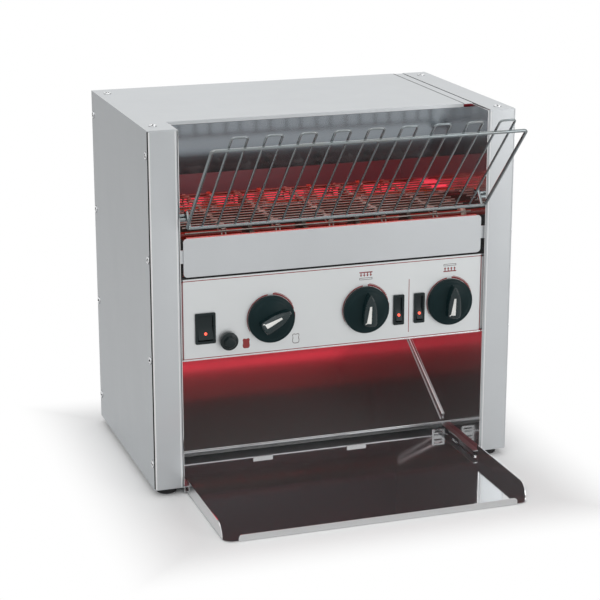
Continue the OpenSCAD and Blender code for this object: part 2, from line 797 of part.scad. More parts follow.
module fan_frame() color(dark_plastic) fan_place() translate([0, 0, skin_t]) {
    difference() {
        linear_extrude(height = fan_t) rounded(fan_w, fan_w, 4);
        cylinder(d = fan_w - 4, h = 3 * fan_t, center = true);
        fan_holes(3 * fan_t);
    }
    cylinder(d = fan_w * 0.4, h = 3);
    for (a = [45:90:315]) rotate(a) translate([fan_w * 0.19, -2, 0]) cube([fan_w * 0.3, 4, 3]);
}

module fan_impeller() color(dark_plastic) fan_place() translate([0, 0, skin_t + 4]) {
    cylinder(d = fan_w * 0.4, h = fan_t - 6);
    for (i = [0:6]) rotate(i * 360 / 7) translate([fan_w * 0.19, 0, (fan_t - 6) / 2]) rotate([40, 0, 0])
        translate([0, -11, -0.8]) cube([fan_w * 0.24, 22, 1.6]);
}

module feet() color(rubber) foot_places() translate([0, 0, cut - foot_h])
    rotate_extrude() polygon([[0, 0], [foot_d / 2 - 2, 0], [foot_d / 2 - 1, 1],
        [foot_d / 2, foot_h], [2.4, foot_h], [2.4, foot_h + 5], [0, foot_h + 5]]);

// ---------- cover screws ----------

// Head of a cover screw with its shank, head upwards
module cover_screw() {
    cylinder(d = screw_head_d, h = screw_head_h * 0.5);
    translate([0, 0, screw_head_h * 0.5])
        cylinder(d1 = screw_head_d, d2 = screw_head_d * 0.6, h = screw_head_h * 0.5);
    translate([0, 0, -skin_t]) cylinder(d = screw_d, h = skin_t);
}

module side_screw_places() {
    for (b = [8, body_d - 8], z = [foot_h + 32, foot_h + body_h * 0.37, foot_h + body_h * 0.65, top_z - 30])
        translate([-side_x, at(b), z]) rotate([0, -90, 0]) children();
}

module cap_screw_places() {
    for (b = [18, body_d - 24]) translate([side_x - cap_w / 2, at(b), top_z]) children();
}

module top_screw_places() {
    for (b = [28, body_d - 30]) translate([-side_x + 14, at(b), top_z]) children();
}

module cover_screws() color(zinc) {
    both_sides() side_screw_places() cover_screw();
    cap_screw_places() cover_screw();
    top_screw_places() cover_screw();
}

// ---------- controls ----------

// Frame and housing of a rocker switch, with the well that the rocker tips in
module switch_body(w) {
    d = 22;
    difference() {
        union() {
            facing(-2, 2) rounded(w, switch_h, 1.5);
            box([-switch_body_w(w) / 2, 0, -switch_h / 2 + 2 + seat],
                [switch_body_w(w) / 2, d, switch_h / 2 - 2 - seat]);
        }
        box([-w / 2 + 3, -2 - cut, -rocker_r - 0.5], [w / 2 - 3, d - 3, rocker_r + 0.5]);
    }
}

module power_switch() color(dark_plastic) translate([power_x, panel_y, switch_z]) switch_body(power_w);

module heat_switches() color(dark_plastic) for (side = [-1, 1])
    translate([heat_switch_x + side * heat_switch_spacing / 2, panel_y, switch_z])
        switch_body(heat_switch_w);

// Side view of a rocker about its own axis, shown tipped to its on position
module rocker_outline() {
    rotate(-rocker_travel / 2) intersection() {
        circle(rocker_r);
        polygon([[-5, -rocker_r], [-2.4, 0], [-5, rocker_r], [9, 9], [9, -9]]);
    }
}

module rocker(x, w) {
    translate([x, panel_y + rocker_depth, switch_z]) difference() {
        side_profile(-w / 2 + 3.2, w / 2 - 3.2) rocker_outline();
        lamp_place() cylinder(d = 3.4, h = 4);
    }
}

// Axis of the small round lamp in the rocker's lower half, pointing into the rocker
module lamp_place() {
    rotate([-rocker_travel / 2, 0, 0]) translate([0, -5.6, -7]) rotate([-90, 0, 0]) children();
}

module lamp(x) color(lamp_red) translate([x, panel_y + rocker_depth, switch_z]) lamp_place()
    translate([0, 0, 1.2]) cylinder(d = 3.2, h = 2.8);

module power_rocker() color(dark_plastic) rocker(power_x, power_w);
module upper_heat_rocker() color(dark_plastic) rocker(heat_switch_x - heat_switch_spacing / 2, heat_switch_w);
module lower_heat_rocker() color(dark_plastic) rocker(heat_switch_x + heat_switch_spacing / 2, heat_switch_w);
module power_lamp() lamp(power_x);
module upper_heat_lamp() lamp(heat_switch_x - heat_switch_spacing / 2);
module lower_heat_lamp() lamp(heat_switch_x + heat_switch_spacing / 2);

// Grip seen from the front: a round tail and a pointed tip
module grip_outline(inset) {
    tail = 9 - inset;
    translate([0, -knob_d * 0.17]) circle(tail);
    polygon([[-tail, -knob_d * 0.17], [-tail * 0.94, knob_d * 0.1], [0, knob_d * 0.42 - inset],
        [tail * 0.94, knob_d * 0.1], [tail, -knob_d * 0.17]]);
}

// White indicator let into the grip
module pointer_outline() {
    polygon([[-1.6, -knob_d * 0.2], [1.6, -knob_d * 0.2], [1, knob_d * 0.2], [0, knob_d * 0.26], [-1, knob_d * 0.2]]);
}

// Puts a shape drawn face-up on to the panel at x, turned clockwise
module on_panel(x, turn) {
    translate([x, panel_y, knob_z]) rotate([90, 0, 0]) rotate(-turn) children();
}

module knob(x, turn) {
    r = knob_d / 2;
    on_panel(x, turn) difference() {
        union() {
            rotate_extrude() polygon([[0, knob_gap], [r, knob_gap], [r, knob_skirt - 1],
                [r - 1, knob_skirt], [r - 4, knob_skirt + 1.4], [r * 0.35, knob_skirt + 5],
                [0, knob_skirt + 5]]);
            translate([0, 0, knob_skirt - 2]) linear_extrude(height = knob_h - knob_skirt + 2)
                grip_outline(0);
        }
        translate([0, 0, knob_h - 1]) linear_extrude(height = 2) pointer_outline();
        translate([0, 0, -cut]) cylinder(d = spindle_d + 2 * running, h = knob_h - 6);
    }
}

module pointer(x, turn) color(signal) on_panel(x, turn)
    translate([0, 0, knob_h - 1]) linear_extrude(height = 1.1) pointer_outline();

module speed_knob() color(dark_plastic) knob(speed_x, speed_turn);
module upper_heat_knob() color(dark_plastic) knob(upper_heat_x, 0);
module lower_heat_knob() color(dark_plastic) knob(lower_heat_x, 0);
module speed_pointer() pointer(speed_x, speed_turn);
module upper_heat_pointer() pointer(upper_heat_x, 0);
module lower_heat_pointer() pointer(lower_heat_x, 0);

// Spindle, neck and nut of a rotary control, with the axis forwards from the panel
module spindle() {
    translate([0, 0, -skin_t]) cylinder(d = spindle_d, h = knob_h - 8 + skin_t);
    translate([0, 0, -skin_t]) cylinder(d = 9.6, h = skin_t);
}

module speed_control() color(zinc) on_panel(speed_x, 0) {
    spindle();
    translate([0, 0, -skin_t - 16]) cylinder(d = 26, h = 16);
    translate([-6, -20, -skin_t - 12]) cube([12, 10, 2]);
}

module heat_regulators() color(zinc) for (x = [upper_heat_x, lower_heat_x]) on_panel(x, 0) {
    spindle();
    translate([-regulator[0] / 2, -regulator[1] / 2, -skin_t - regulator[2]]) cube(regulator);
}

module reset_thermostat() color(zinc) translate([reset_x, panel_y, reset_z]) rotate([90, 0, 0]) {
    translate([0, 0, -skin_t - 16]) cylinder(d = 24, h = 16);
    translate([0, 0, -skin_t]) cylinder(d = 11.6, h = skin_t + 3);
}

// Round cap with a faceted dome, pushed in to reset
module reset_cap() color(dark_plastic) translate([reset_x, panel_y, reset_z]) rotate([90, 0, 0])
    difference() {
        union() {
            translate([0, 0, reset_travel + 0.5]) cylinder(d = reset_d, h = 4);
            translate([0, 0, reset_travel + 4.5]) cylinder(d1 = reset_d - 1, d2 = reset_d - 5, h = 2);
            translate([0, 0, reset_travel + 4.5]) cylinder(d = reset_d * 0.62, h = 6, $fn = 8);
        }
        translate([0, 0, -cut]) cylinder(d = 12, h = reset_travel + cut + 3.5);
    }

// ---------- feed rack ----------

// Frame of the rack in its own plane: X across, Y up the slope, Z towards the front
module rack_plane() {
    translate([0, rail_y, rail_z]) rotate([180 - rack_slope, 0, 0]) children();
}

module quarter_bend(r, d) {
    rotate_extrude(angle = 90) translate([r, 0]) circle(d = d);
}

// A closed or open-ended rectangle of wire with bent corners
module wire_frame(w, l, r, d, closed) {
    both_sides() {
        translate([w / 2, 0, 0]) rotate([-90, 0, 0]) translate([0, 0, closed ? r : 0])
            cylinder(d = d, h = l - r - (closed ? r : 0));
        translate([w / 2 - r, l - r, 0]) quarter_bend(r, d);
        if (closed) translate([w / 2 - r, r, 0]) mirror([0, 1, 0]) quarter_bend(r, d);
    }
    rod_x(-w / 2 + r, w / 2 - r, l, 0, d);
    if (closed) rod_x(-w / 2 + r, w / 2 - r, 0, 0, d);
}

// Hooks run back and up from the lower corners, over the pins, and turn down behind them
module rack_hook() {
    x = rack_w / 2 - rack_wire_d / 2 - 4;
    a = [x, rail_y, rail_z];
    b = [x, rail_y + hook_back - 4, rail_z + hook_up];
    c = [x, rail_y + hook_back + 4, rail_z + hook_up];
    e = [x, rail_y + hook_back + 6, rail_z + hook_up - hook_tip];
    wire(a, b, rack_wire_d);
    wire(b, c, rack_wire_d);
    wire(c, e, rack_wire_d);
}

module feed_rack() color(bright) {
    rack_plane() {
        wire_frame(rack_w - rack_wire_d, rack_l, rack_corner_r, rack_wire_d, true);
        for (i = [0:hairpins - 1])
            translate([(i - (hairpins - 1) / 2) * (rack_w - rack_wire_d) / (hairpins + 0.45), 0,
                -(rack_wire_d + hairpin_d) / 2 + wire_gap])
                wire_frame(hairpin_w - hairpin_d, rack_l + hairpin_reach, 4, hairpin_d, false);
    }
    both_sides() rack_hook();
}

// Pins on the inner walls: one under each hook's crest, one that the leg leans on
module rack_pins() color(zinc) both_sides() {
    x0 = rack_w / 2 - rack_wire_d - 4;
    gap = (rack_wire_d + rack_pin_d) / 2 + seat;
    leg = [hook_back - 4, hook_up] / norm([hook_back - 4, hook_up]);
    rod_x(x0, wall_x, rail_y + hook_back, rail_z + hook_up - gap, rack_pin_d);
    rod_x(x0, wall_x, rail_y + leg[0] * lean_up + leg[1] * gap,
        rail_z + leg[1] * lean_up - leg[0] * gap, rack_pin_d);
}

// ---------- tray ----------

// Z-shaped rails under the base pan's rim that guide the tray's edges
module tray_rails() color(steel) both_sides() {
    lip = tray_rise + liner_t + guide_gap;
    box([-wall_x, at(2), tray_rise], [-wall_x + liner_t, at(slide_start + 4), foot_h]);
    box([-wall_x, at(2), lip], [-wall_x + 6.5, at(slide_start + 4), lip + liner_t]);
}

module outfeed_tray() color(bright) {
    w = 2 * (wall_x - 3);
    y0 = at(-tray_reach);
    y1 = at(slide_start + 6);
    r = tray_corner_r;
    floor_w = 2 * (wall_x - liner_t - guide_gap);
    fold = 0.3;
    translate([0, 0, tray_rise]) {
        linear_extrude(height = liner_t) {
            translate([-w / 2, y0 + r]) square([w, at(2) - y0 - r]);
            translate([-w / 2 + r, y0]) square([w - 2 * r, r]);
            for (x = [-1, 1]) translate([x * (w / 2 - r), y0 + r]) circle(r);
            translate([-floor_w / 2, at(1)]) square([floor_w, y1 - at(1)]);
        }
        both_sides() translate([-w / 2 + fold, 0, fold]) rotate([0, -tray_splay, 0]) tray_side(y0);
        translate([0, 0, -tray_rise]) tray_tabs();
        translate([0, y0, 0]) facing(0, liner_t)
            intersection() {
                rounded(w - 2 * r - 10, 2 * tray_lip_h, 4);
                translate([-w / 2, 0]) square([w, tray_lip_h]);
            }
    }
}

// Tabs punched up from the tray's floor at its rear end, one of them tall and slotted
module tray_tabs() {
    y = at(slide_start) - tab_step;
    for (x = [-68, 58]) box([x - 13, y, tray_rise + 0.5], [x + 13, y + liner_t, tray_rise + liner_t + 3]);
    difference() {
        box([wall_x - 30, y, tray_rise + 0.5], [wall_x - 12, y + liner_t, tray_rise + tab_h]);
        for (z = [4.5, 8.5]) translate([wall_x - 21, y + liner_t / 2, tray_rise + z]) rotate([90, 0, 0])
            linear_extrude(height = 4, center = true) slot(12, 2);
    }
}

// Upright side flange with a rounded front end
module tray_side(y0) {
    r = tray_flange_h - 1;
    side_profile(0, liner_t) {
        translate([y0 + tray_corner_r + r, 0]) square([-y0 + at(-2) - tray_corner_r - r, tray_flange_h]);
        translate([y0 + tray_corner_r, 0]) square([r + 1, tray_flange_h - r]);
        intersection() {
            translate([y0 + tray_corner_r + r, tray_flange_h - r]) circle(r);
            translate([y0 + tray_corner_r, 0]) square([r + 1, tray_flange_h]);
        }
    }
}

base_pan();
left_side_panel();
right_side_cover();
back_panel();
top_cover();
left_front_column();
right_front_column();
left_inner_wall();
right_inner_wall();
upper_baffle();
upper_reflector();
lower_reflector();
rear_guide();
discharge_slide();
front_cover();
control_panel();
control_box();
belt_support();
upper_heaters();
lower_heaters();
heater_bushes();
shaft_bushes();
idler_tensioners();
gearmotor();
terminal_block();
cable_gland();
fan_frame();
rack_pins();
tray_rails();
feet();
cover_screws();
power_switch();
heat_switches();
speed_control();
heat_regulators();
reset_thermostat();
conveyor_belt();
drive_chain();
speed_knob();
speed_pointer();
upper_heat_knob();
upper_heat_pointer();
lower_heat_knob();
lower_heat_pointer();
power_rocker();
power_lamp();
upper_heat_rocker();
upper_heat_lamp();
lower_heat_rocker();
lower_heat_lamp();
reset_cap();
drive_shaft();
belt_sprockets();
shaft_chainwheel();
idler_roller();
motor_chainwheel();
fan_impeller();
outfeed_tray();
feed_rack();
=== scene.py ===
"""Looks of the counter-top conveyor toaster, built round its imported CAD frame."""

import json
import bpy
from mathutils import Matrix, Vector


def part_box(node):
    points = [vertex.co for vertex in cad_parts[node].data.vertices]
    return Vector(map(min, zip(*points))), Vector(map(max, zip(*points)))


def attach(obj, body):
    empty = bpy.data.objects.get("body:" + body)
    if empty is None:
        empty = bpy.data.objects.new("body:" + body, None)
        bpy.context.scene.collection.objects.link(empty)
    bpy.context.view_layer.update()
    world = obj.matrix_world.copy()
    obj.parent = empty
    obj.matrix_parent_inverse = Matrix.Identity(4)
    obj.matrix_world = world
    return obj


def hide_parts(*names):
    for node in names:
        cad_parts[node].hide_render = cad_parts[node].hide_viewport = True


bl_info = {
    "name": "Conveyor Toaster",
    "version": (1, 0, 0),
    "blender": (4, 5, 0),
    "location": "View3D > Sidebar > Toaster",
    "description": "Dresses the conveyor toaster's frame with finishes, wirework, controls and a studio",
    "category": "Object",
}

from math import cos, pi, radians, sin

import bmesh
import bpy
import numpy as np
from bpy.props import FloatProperty, FloatVectorProperty, IntProperty, PointerProperty
from mathutils import Vector

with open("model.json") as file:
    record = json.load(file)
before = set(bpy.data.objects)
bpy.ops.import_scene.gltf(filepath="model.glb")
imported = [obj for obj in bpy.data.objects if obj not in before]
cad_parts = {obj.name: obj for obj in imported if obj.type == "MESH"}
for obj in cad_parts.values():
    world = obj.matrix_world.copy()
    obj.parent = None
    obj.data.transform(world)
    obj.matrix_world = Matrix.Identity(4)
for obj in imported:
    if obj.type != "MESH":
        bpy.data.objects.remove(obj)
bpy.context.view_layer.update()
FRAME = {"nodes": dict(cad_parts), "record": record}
MM = 0.001
HOUSING = "housing"
KNOBS = ("speed", "upper_heat", "lower_heat")
PRINT_DEPTH, PRINT_ROOT = 0.08, 0.02
MATERIALS = {}


def span(node):
    """Lowest and highest corner of a CAD node, in millimetres."""
    low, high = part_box(node)
    return np.array(low) / MM, np.array(high) / MM


def middle(node):
    """Centre of a CAD node's box, in millimetres."""
    low, high = span(node)
    return (low + high) / 2


def round_face(node):
    """Centre (x, z) and radius of a round CAD node on the panel."""
    low, high = span(node)
    return tuple((low + high)[::2] / 2), (high[0] - low[0]) / 2


PANEL_LOW, PANEL_HIGH = span("control_panel")
PANEL_Y = PANEL_LOW[1]
SKIN_LOW = span("left_side_panel")[0]
TOP_Z = span("top_cover")[1][2]
BACK_Y = span("back_panel")[1][1]
FRONT_Y = span("left_front_column")[0][1]
SIDE_X = -SKIN_LOW[0]


# ---------- meshes ----------


def quads(rows, columns, round_rows=False, round_columns=False):
    """Faces of a grid of points: each joins a point to the next in its row and in its column, and a
    closed direction runs on from its last line to its first."""
    r = np.arange(rows if round_rows else rows - 1)[:, None]
    c = np.arange(columns if round_columns else columns - 1)[None]
    right, below = (c + 1) % columns, (r + 1) % rows
    corners = [r * columns + c, r * columns + right, below * columns + right, below * columns + c]
    return np.stack([k + 0 * r + 0 * c for k in corners], -1).reshape(-1, 4)


def sleeve(rows, columns, closed=False):
    """Faces of a tube-shaped grid: its columns run round, and its rows run round too if it is closed,
    or else end in a flat face at either end."""
    faces = quads(rows, columns, closed, True).tolist()
    if closed:
        return faces
    last = (rows - 1) * columns
    return faces + [list(range(columns))[::-1], [last + i for i in range(columns)]]


def joined(parts):
    """One list of points and one of faces from several (points, faces) pairs."""
    points, faces, start = [], [], 0
    for p, f in parts:
        points.append(p.reshape(-1, 3))
        faces += [[i + start for i in face] for face in f]
        start += len(points[-1])
    return np.concatenate(points), faces


def placed(obj, body, replaces=()):
    """Links a finished object, sets it on its body and hides the CAD nodes it stands for."""
    bpy.context.scene.collection.objects.link(obj)
    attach(obj, body)
    if replaces:
        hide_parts(*replaces)
    return obj


def smooth_but_for(mesh, degrees):
    """Shades a mesh smooth, apart from edges sharper than the angle."""
    mesh.polygons.foreach_set("use_smooth", np.ones(len(mesh.polygons), bool))
    mesh.set_sharp_from_angle(angle=radians(degrees))


def piece(name, parts, material, body, replaces=(), sharp=35):
    """Makes one mesh object from parts in millimetres, smooth but for edges sharper than sharp degrees."""
    points, faces = joined(parts)
    mesh = bpy.data.meshes.new(name)
    mesh.from_pydata((points * MM).tolist(), [], faces)
    smooth_but_for(mesh, sharp)
    mesh.materials.append(MATERIALS[material])
    return placed(bpy.data.objects.new(name, mesh), body, replaces)


def slot_of(node):
    """Material slot that the record gives a CAD node."""
    return next(s["material_slot"] for s in FRAME["record"]["subparts"] if s["node"] == node)


def softened(node, material, body=HOUSING, width=0.3, segments=2, above=None):
    """Copy of a sheet or moulded CAD node: doubled points merged, coplanar triangles joined, and each
    sharp edge rounded to width millimetres, if there is one. above gives a height and the finish of
    the faces over it."""
    merged, coplanar, sharp = 2e-6, radians(0.4), 32
    mesh = FRAME["nodes"][node].data.copy()
    mesh.materials.clear()
    mesh.materials.append(MATERIALS[material])
    shape = bmesh.new()
    shape.from_mesh(mesh)
    bmesh.ops.remove_doubles(shape, verts=shape.verts, dist=merged)
    bmesh.ops.dissolve_limit(shape, angle_limit=coplanar, verts=shape.verts, edges=shape.edges)
    shape.to_mesh(mesh)
    shape.free()
    if "custom_normal" in mesh.attributes:
        mesh.attributes.remove(mesh.attributes["custom_normal"])
    smooth_but_for(mesh, sharp)
    if above:
        mesh.materials.append(MATERIALS[above[1]])
        centres = np.empty(len(mesh.polygons) * 3, np.float32)
        mesh.polygons.foreach_get("center", centres)
        mesh.polygons.foreach_set("material_index", (centres[2::3] > above[0] * MM).astype(np.int32))
    obj = placed(bpy.data.objects.new("soft_" + node, mesh), body, [node])
    if width:
        rounding = obj.modifiers.new("rounded edges", "BEVEL")
        rounding.width, rounding.segments = width * MM, segments
        rounding.limit_method, rounding.angle_limit = "ANGLE", radians(sharp)
        rounding.harden_normals = rounding.use_clamp_overlap = True
    return obj


def paint(material, *nodes):
    """Gives CAD nodes one of the finishes."""
    for name in nodes:
        data = FRAME["nodes"][name].data
        data.materials.clear()
        data.materials.append(MATERIALS[material])


def around(count):
    """Angles of count equal steps round a turn."""
    return np.linspace(0, 2 * pi, count, endpoint=False)


def unit(v):
    return v / np.maximum(np.linalg.norm(v, axis=-1, keepdims=True), 1e-12)


def bent(corners, radius, steps=6, closed=False):
    """Path through corners in which each turn is an arc of the radius: the arc's centre lies on the
    corner's bisector at radius / sin(half angle), and points are interpolated along the arc by sines."""
    c = np.asarray(corners, float)
    u, v = unit(np.roll(c, 1, 0) - c), unit(np.roll(c, -1, 0) - c)
    half = np.arccos(np.clip((u * v).sum(-1), -0.99999, 0.99999)) / 2
    centre = c + unit(u + v) * (radius / np.sin(half))[:, None]
    start = c + u * (radius / np.tan(half))[:, None] - centre
    end = c + v * (radius / np.tan(half))[:, None] - centre
    turn = (pi - 2 * half)[:, None, None]
    s = np.linspace(0, 1, steps)[None, :, None]
    arc = np.sin((1 - s) * turn) * start[:, None] + np.sin(s * turn) * end[:, None]
    arc = centre[:, None] + arc / np.sin(turn)
    if closed:
        return arc.reshape(-1, 3)
    return np.concatenate([c[:1], arc[1:-1].reshape(-1, 3), c[-1:]])


def tube(path, radius, across, sides=8, closed=False):
    """Round wire: every point of the path gets a ring at the radius, spanned by the path's direction
    crossed with across, and by the direction crossed with that."""
    p = np.asarray(path, float)
    t = unit(np.roll(p, -1, 0) - np.roll(p, 1, 0) if closed else np.gradient(p, axis=0))
    n = unit(np.cross(t, across))
    b = np.cross(t, n)
    a = around(sides)[None, :, None]
    ring = p[:, None] + radius * (n[:, None] * np.cos(a) + b[:, None] * np.sin(a))
    return ring, sleeve(len(p), sides, closed)


def turned(profile, centre, axis="Z", sides=48, wave=None):
    """Turned surface: profile holds (radius, height) pairs from the bottom up, spun about Z or -Y through
    centre as (r cos a, r sin a, height). wave(angle, height) may scale the radius."""
    r, h = np.asarray(profile, float).T
    a = around(sides)
    scale = 1 if wave is None else wave(a[None, :], h[:, None])
    x, y = r[:, None] * scale * np.cos(a), r[:, None] * scale * np.sin(a)
    z = h[:, None] + 0 * a
    order = {"Z": (x, y, z), "-Y": (x, -z, y)}[axis]
    return np.stack(order, -1) + centre, sleeve(len(r), sides)


def block(low, high):
    """Box between two corners: eight points and six faces that look outward."""
    x, y, z = np.meshgrid(*zip(low, high), indexing="ij")
    faces = [[0, 1, 3, 2], [4, 6, 7, 5], [0, 4, 5, 1], [2, 3, 7, 6], [0, 2, 6, 4], [1, 5, 7, 3]]
    return np.stack([x, y, z], -1).reshape(-1, 3), faces


def copies(template, places):
    """The template's (points, faces) repeated at each row of places by adding its offset."""
    points, faces = template
    return [(points.reshape(-1, 3) + p, faces) for p in places]


def strip(left, right, closed=False):
    """Thin flat band on the panel between two edges given as (x, z): front and back rows of both edges
    make a four-sided tube."""
    front, back = PANEL_Y - PRINT_DEPTH, PANEL_Y + PRINT_ROOT
    rows = [(left, front), (left, back), (right, back), (right, front)]
    grid = np.stack([np.stack([e[:, 0], np.full(len(e), d), e[:, 1]], -1) for e, d in rows], 1)
    return grid, sleeve(len(left), 4, closed)


# ---------- materials ----------


def worked(operation):
    """Method of a Link that adds one Math node."""
    return lambda self, other=0.0: self.nodes.math(operation, self, other)


class Link:
    """One output socket. Arithmetic on it adds the Math nodes that work the expression out."""

    __add__ = __radd__ = worked("ADD")
    __sub__ = worked("SUBTRACT")
    __mul__ = __rmul__ = worked("MULTIPLY")
    __pow__ = worked("POWER")
    above = worked("GREATER_THAN")
    size = worked("ABSOLUTE")
    wave = worked("SINE")

    def __init__(self, nodes, socket):
        self.nodes, self.socket = nodes, socket

    def __rsub__(self, other):
        return self.nodes.math("SUBTRACT", other, self)

    def part(self, name):
        """Another output of the same node, by its name or number."""
        return Link(self.nodes, self.socket.node.outputs[name])


class Nodes:
    """A node tree that is built by calls."""

    def __init__(self, tree):
        self.tree = tree

    def feed(self, socket, value):
        """Links a Link to an input socket, or sets the socket to a plain value."""
        if isinstance(value, Link):
            self.tree.links.new(value.socket, socket)
        else:
            socket.default_value = value

    def node(self, kind, inputs=None, **settings):
        """Adds a node: settings first, then its sockets' values or links."""
        made = self.tree.nodes.new(kind)
        for key, value in settings.items():
            setattr(made, key, value)
        for key, value in (inputs or {}).items():
            self.feed(made.inputs[key], value)
        return Link(self, made.outputs[0])

    def math(self, operation, a, b=0.0):
        return self.node("ShaderNodeMath", {0: a, 1: b}, operation=operation)


class Finish(Nodes):
    """A material with one Principled shader, to which patterns are added."""

    def __init__(self, name, colour, **sockets):
        self.material = bpy.data.materials.new(name)
        self.material.use_nodes = True
        super().__init__(self.material.node_tree)
        self.shader = self.tree.nodes["Principled BSDF"]
        self.set("Base Color", (*colour, 1))
        for socket, value in sockets.items():
            self.set(socket.replace("_", " "), value)

    def set(self, socket, value):
        self.feed(self.shader.inputs[socket], value)
        return self

    def place(self, output="Object"):
        return self.node("ShaderNodeTexCoord").part(output)

    def along(self, axis, output="Object"):
        """One coordinate of the place, or of another output such as the normal."""
        return self.node("ShaderNodeSeparateXYZ", {0: self.place(output)}).part(axis)

    def rise(self, value, low, high):
        """Runs smoothly from 0 at low to 1 at high."""
        inputs = {"Value": value, "From Min": low, "From Max": high}
        return self.node("ShaderNodeMapRange", inputs, interpolation_type="SMOOTHSTEP")

    def noise(self, scale, detail=2.0, rough=0.5, stretch=(1, 1, 1)):
        spot = self.node("ShaderNodeMapping", {"Vector": self.place(), "Scale": stretch})
        return self.node("ShaderNodeTexNoise", {"Vector": spot, "Scale": scale, "Detail": detail, "Roughness": rough})

    def blend(self, mask, first, second):
        """Colour that runs from first to second as the mask runs from 0 to 1."""
        return self.node("ShaderNodeMix", {0: mask, 6: (*first, 1), 7: (*second, 1)}, data_type="RGBA").part(2)

    def tint(self, mask, first, second):
        return self.set("Base Color", self.blend(mask, first, second))

    def glow(self, mask, first, second, strength):
        self.set("Emission Color", self.blend(mask, first, second))
        return self.set("Emission Strength", strength)

    def relief(self, height, strength, distance=0.001):
        bump = self.node("ShaderNodeBump", {"Height": height, "Strength": strength, "Distance": distance})
        return self.set("Normal", bump)

    def grain(self):
        """Brush lines: noise drawn out along X on level sheets, and level on upright ones."""
        upright = self.noise(1.0, 3, stretch=(9, 9, 1500))
        level = self.noise(1.0, 3, stretch=(9, 1500, 9))
        facing = self.along("Z", "Normal").size().above(0.7)
        return upright + facing * (level - upright)


def toned(colour, by):
    """The colour made lighter or darker by a factor."""
    return tuple(min(1, c * by) for c in colour)


def brushed(name, colour, roughness, grain=0.16, cloud=0.04, relief=0.05, metallic=1.0):
    """Brushed stainless: fine lines in roughness and relief, broad faint clouds in colour, and soft
    handling marks that dull or clear the surface."""
    f = Finish(name, colour, Metallic=metallic)
    lines = f.grain()
    clouds = f.noise(5.0, 3, 0.55)
    marks = f.noise(23.0, 4, 0.6, (1, 1, 0.5))
    f.set("Roughness", lines * grain + (roughness - grain / 2 - 0.03) + (marks - 0.5) * 0.14 + clouds * 0.06)
    f.tint(clouds * 0.7 + lines * 0.3, toned(colour, 1 - cloud * 2.2), toned(colour, 1 + cloud))
    return f.relief(lines, relief, 0.0002)


def reddened(name, colour, glow, belt):
    """Brushed sheet behind the belt's end, with the tubes' red light painted on as emission: one painted glow under
    the height of the belt and one over it, apart by a painted shadow of the belt, both broken into level bands."""
    f = Finish(name, colour, Metallic=0.9)
    height = f.along("Z")
    # painted shadow of the belt, where the painted red glow stops
    shadow = f.rise(height, belt - 0.026, belt - 0.018)
    under = f.rise(height, belt - 0.105, belt - 0.075) * (1 - shadow)
    over = f.rise(height, belt + 0.013, belt + 0.022) * (1 - f.rise(height, belt + 0.055, belt + 0.1) * 0.8)
    bands = (height * 420.0).wave() * 0.1 + 0.9
    patch = f.noise(6.0, 2) * 0.5 + 0.7
    f.glow((under * 0.75 + over * 0.8 + shadow * 0.02) * bands * patch, (0.004, 0.002, 0.003), glow, 1.0)
    lines = f.grain()
    f.set("Roughness", 0.42 + lines * 0.12)
    return f.relief(lines, 0.04, 0.0002)


def polished(name, colour, roughness=0.07, waviness=0.03, metallic=0.94):
    """Mirror-finished sheet: a faint roll of the sheet bends reflections, with hairlines and a few
    duller wiped patches."""
    f = Finish(name, colour, Metallic=metallic)
    wiped = f.noise(15.0, 4, 0.6)
    f.set("Roughness", roughness + f.grain() * 0.05 + ((wiped - 0.52) * 0.25) ** 2 * 8.0)
    f.tint(wiped, toned(colour, 0.95), colour)
    return f.relief(f.noise(7.0, 1), waviness, 0.004)


def moulded(name, colour, roughness=0.4, grain=900.0, depth=0.12, **sockets):
    """Moulded plastic or rubber: fine spark-eroded grain, with worn, shinier places."""
    f = Finish(name, colour, **sockets)
    fine = f.noise(grain, 2)
    worn = f.noise(45.0, 3, 0.6)
    f.set("Roughness", roughness + (worn - 0.5) * 0.22 + fine * 0.05)
    f.tint(worn, toned(colour, 0.82), toned(colour, 1.22))
    return f.relief(fine, depth, 0.0001)


def wire_metal(name, colour, roughness, tarnish, amount):
    """Bright wire with small duller and browner stretches left by heat and washing."""
    f = Finish(name, colour, Metallic=1.0)
    stain = f.noise(38.0, 4, 0.65)
    drawn = f.noise(420.0, 2)
    f.set("Roughness", roughness + stain * 0.16 + drawn * 0.06)
    f.tint((stain - 0.42) * 2.4 * amount, colour, tarnish)
    return f.relief(drawn, 0.1, 0.0001)


def glowing(name, colour, core, strength):
    """Quartz tube over a wound element: the turns of the coil glow brighter than the gaps."""
    f = Finish(name, colour, Roughness=0.2)
    turns = (f.along("X") * 1900.0).wave() * 0.5 + 0.5
    return f.glow(turns * 0.6 + f.noise(9.0, 2) * 0.4, colour, core, strength)


def lens(name, colour, core, strength):
    """Small lit lens, brighter in its middle facets."""
    f = Finish(name, colour, Roughness=0.15)
    return f.glow(f.noise(1400.0, 1), colour, core, strength)


def cast(name, colour, roughness, metallic=0.0, scale=160.0):
    """Painted, plated or fired surface with a slight orange-peel and dusty unevenness."""
    f = Finish(name, colour, Metallic=metallic)
    dust = f.noise(18.0, 3, 0.6)
    f.set("Roughness", roughness + dust * 0.16 - 0.06)
    f.tint(dust, toned(colour, 0.86), toned(colour, 1.08))
    return f.relief(f.noise(scale, 3), 0.12, 0.0003)


def edge_metal(name, colour, lift):
    """Cut and rolled edge of a sheet with a painted highlight: emission of its own colour, at the strength lift, makes
    it show paler than its faces; a rubbed surface.
    """
    f = Finish(name, colour, Metallic=0.25)
    rubbed = f.noise(60.0, 3, 0.6)
    f.set("Roughness", rubbed * 0.2 + 0.25)
    f.tint(rubbed, toned(colour, 0.85), colour)
    # the emission is a painted highlight
    return f.set("Emission Color", (*colour, 1)).set("Emission Strength", lift)


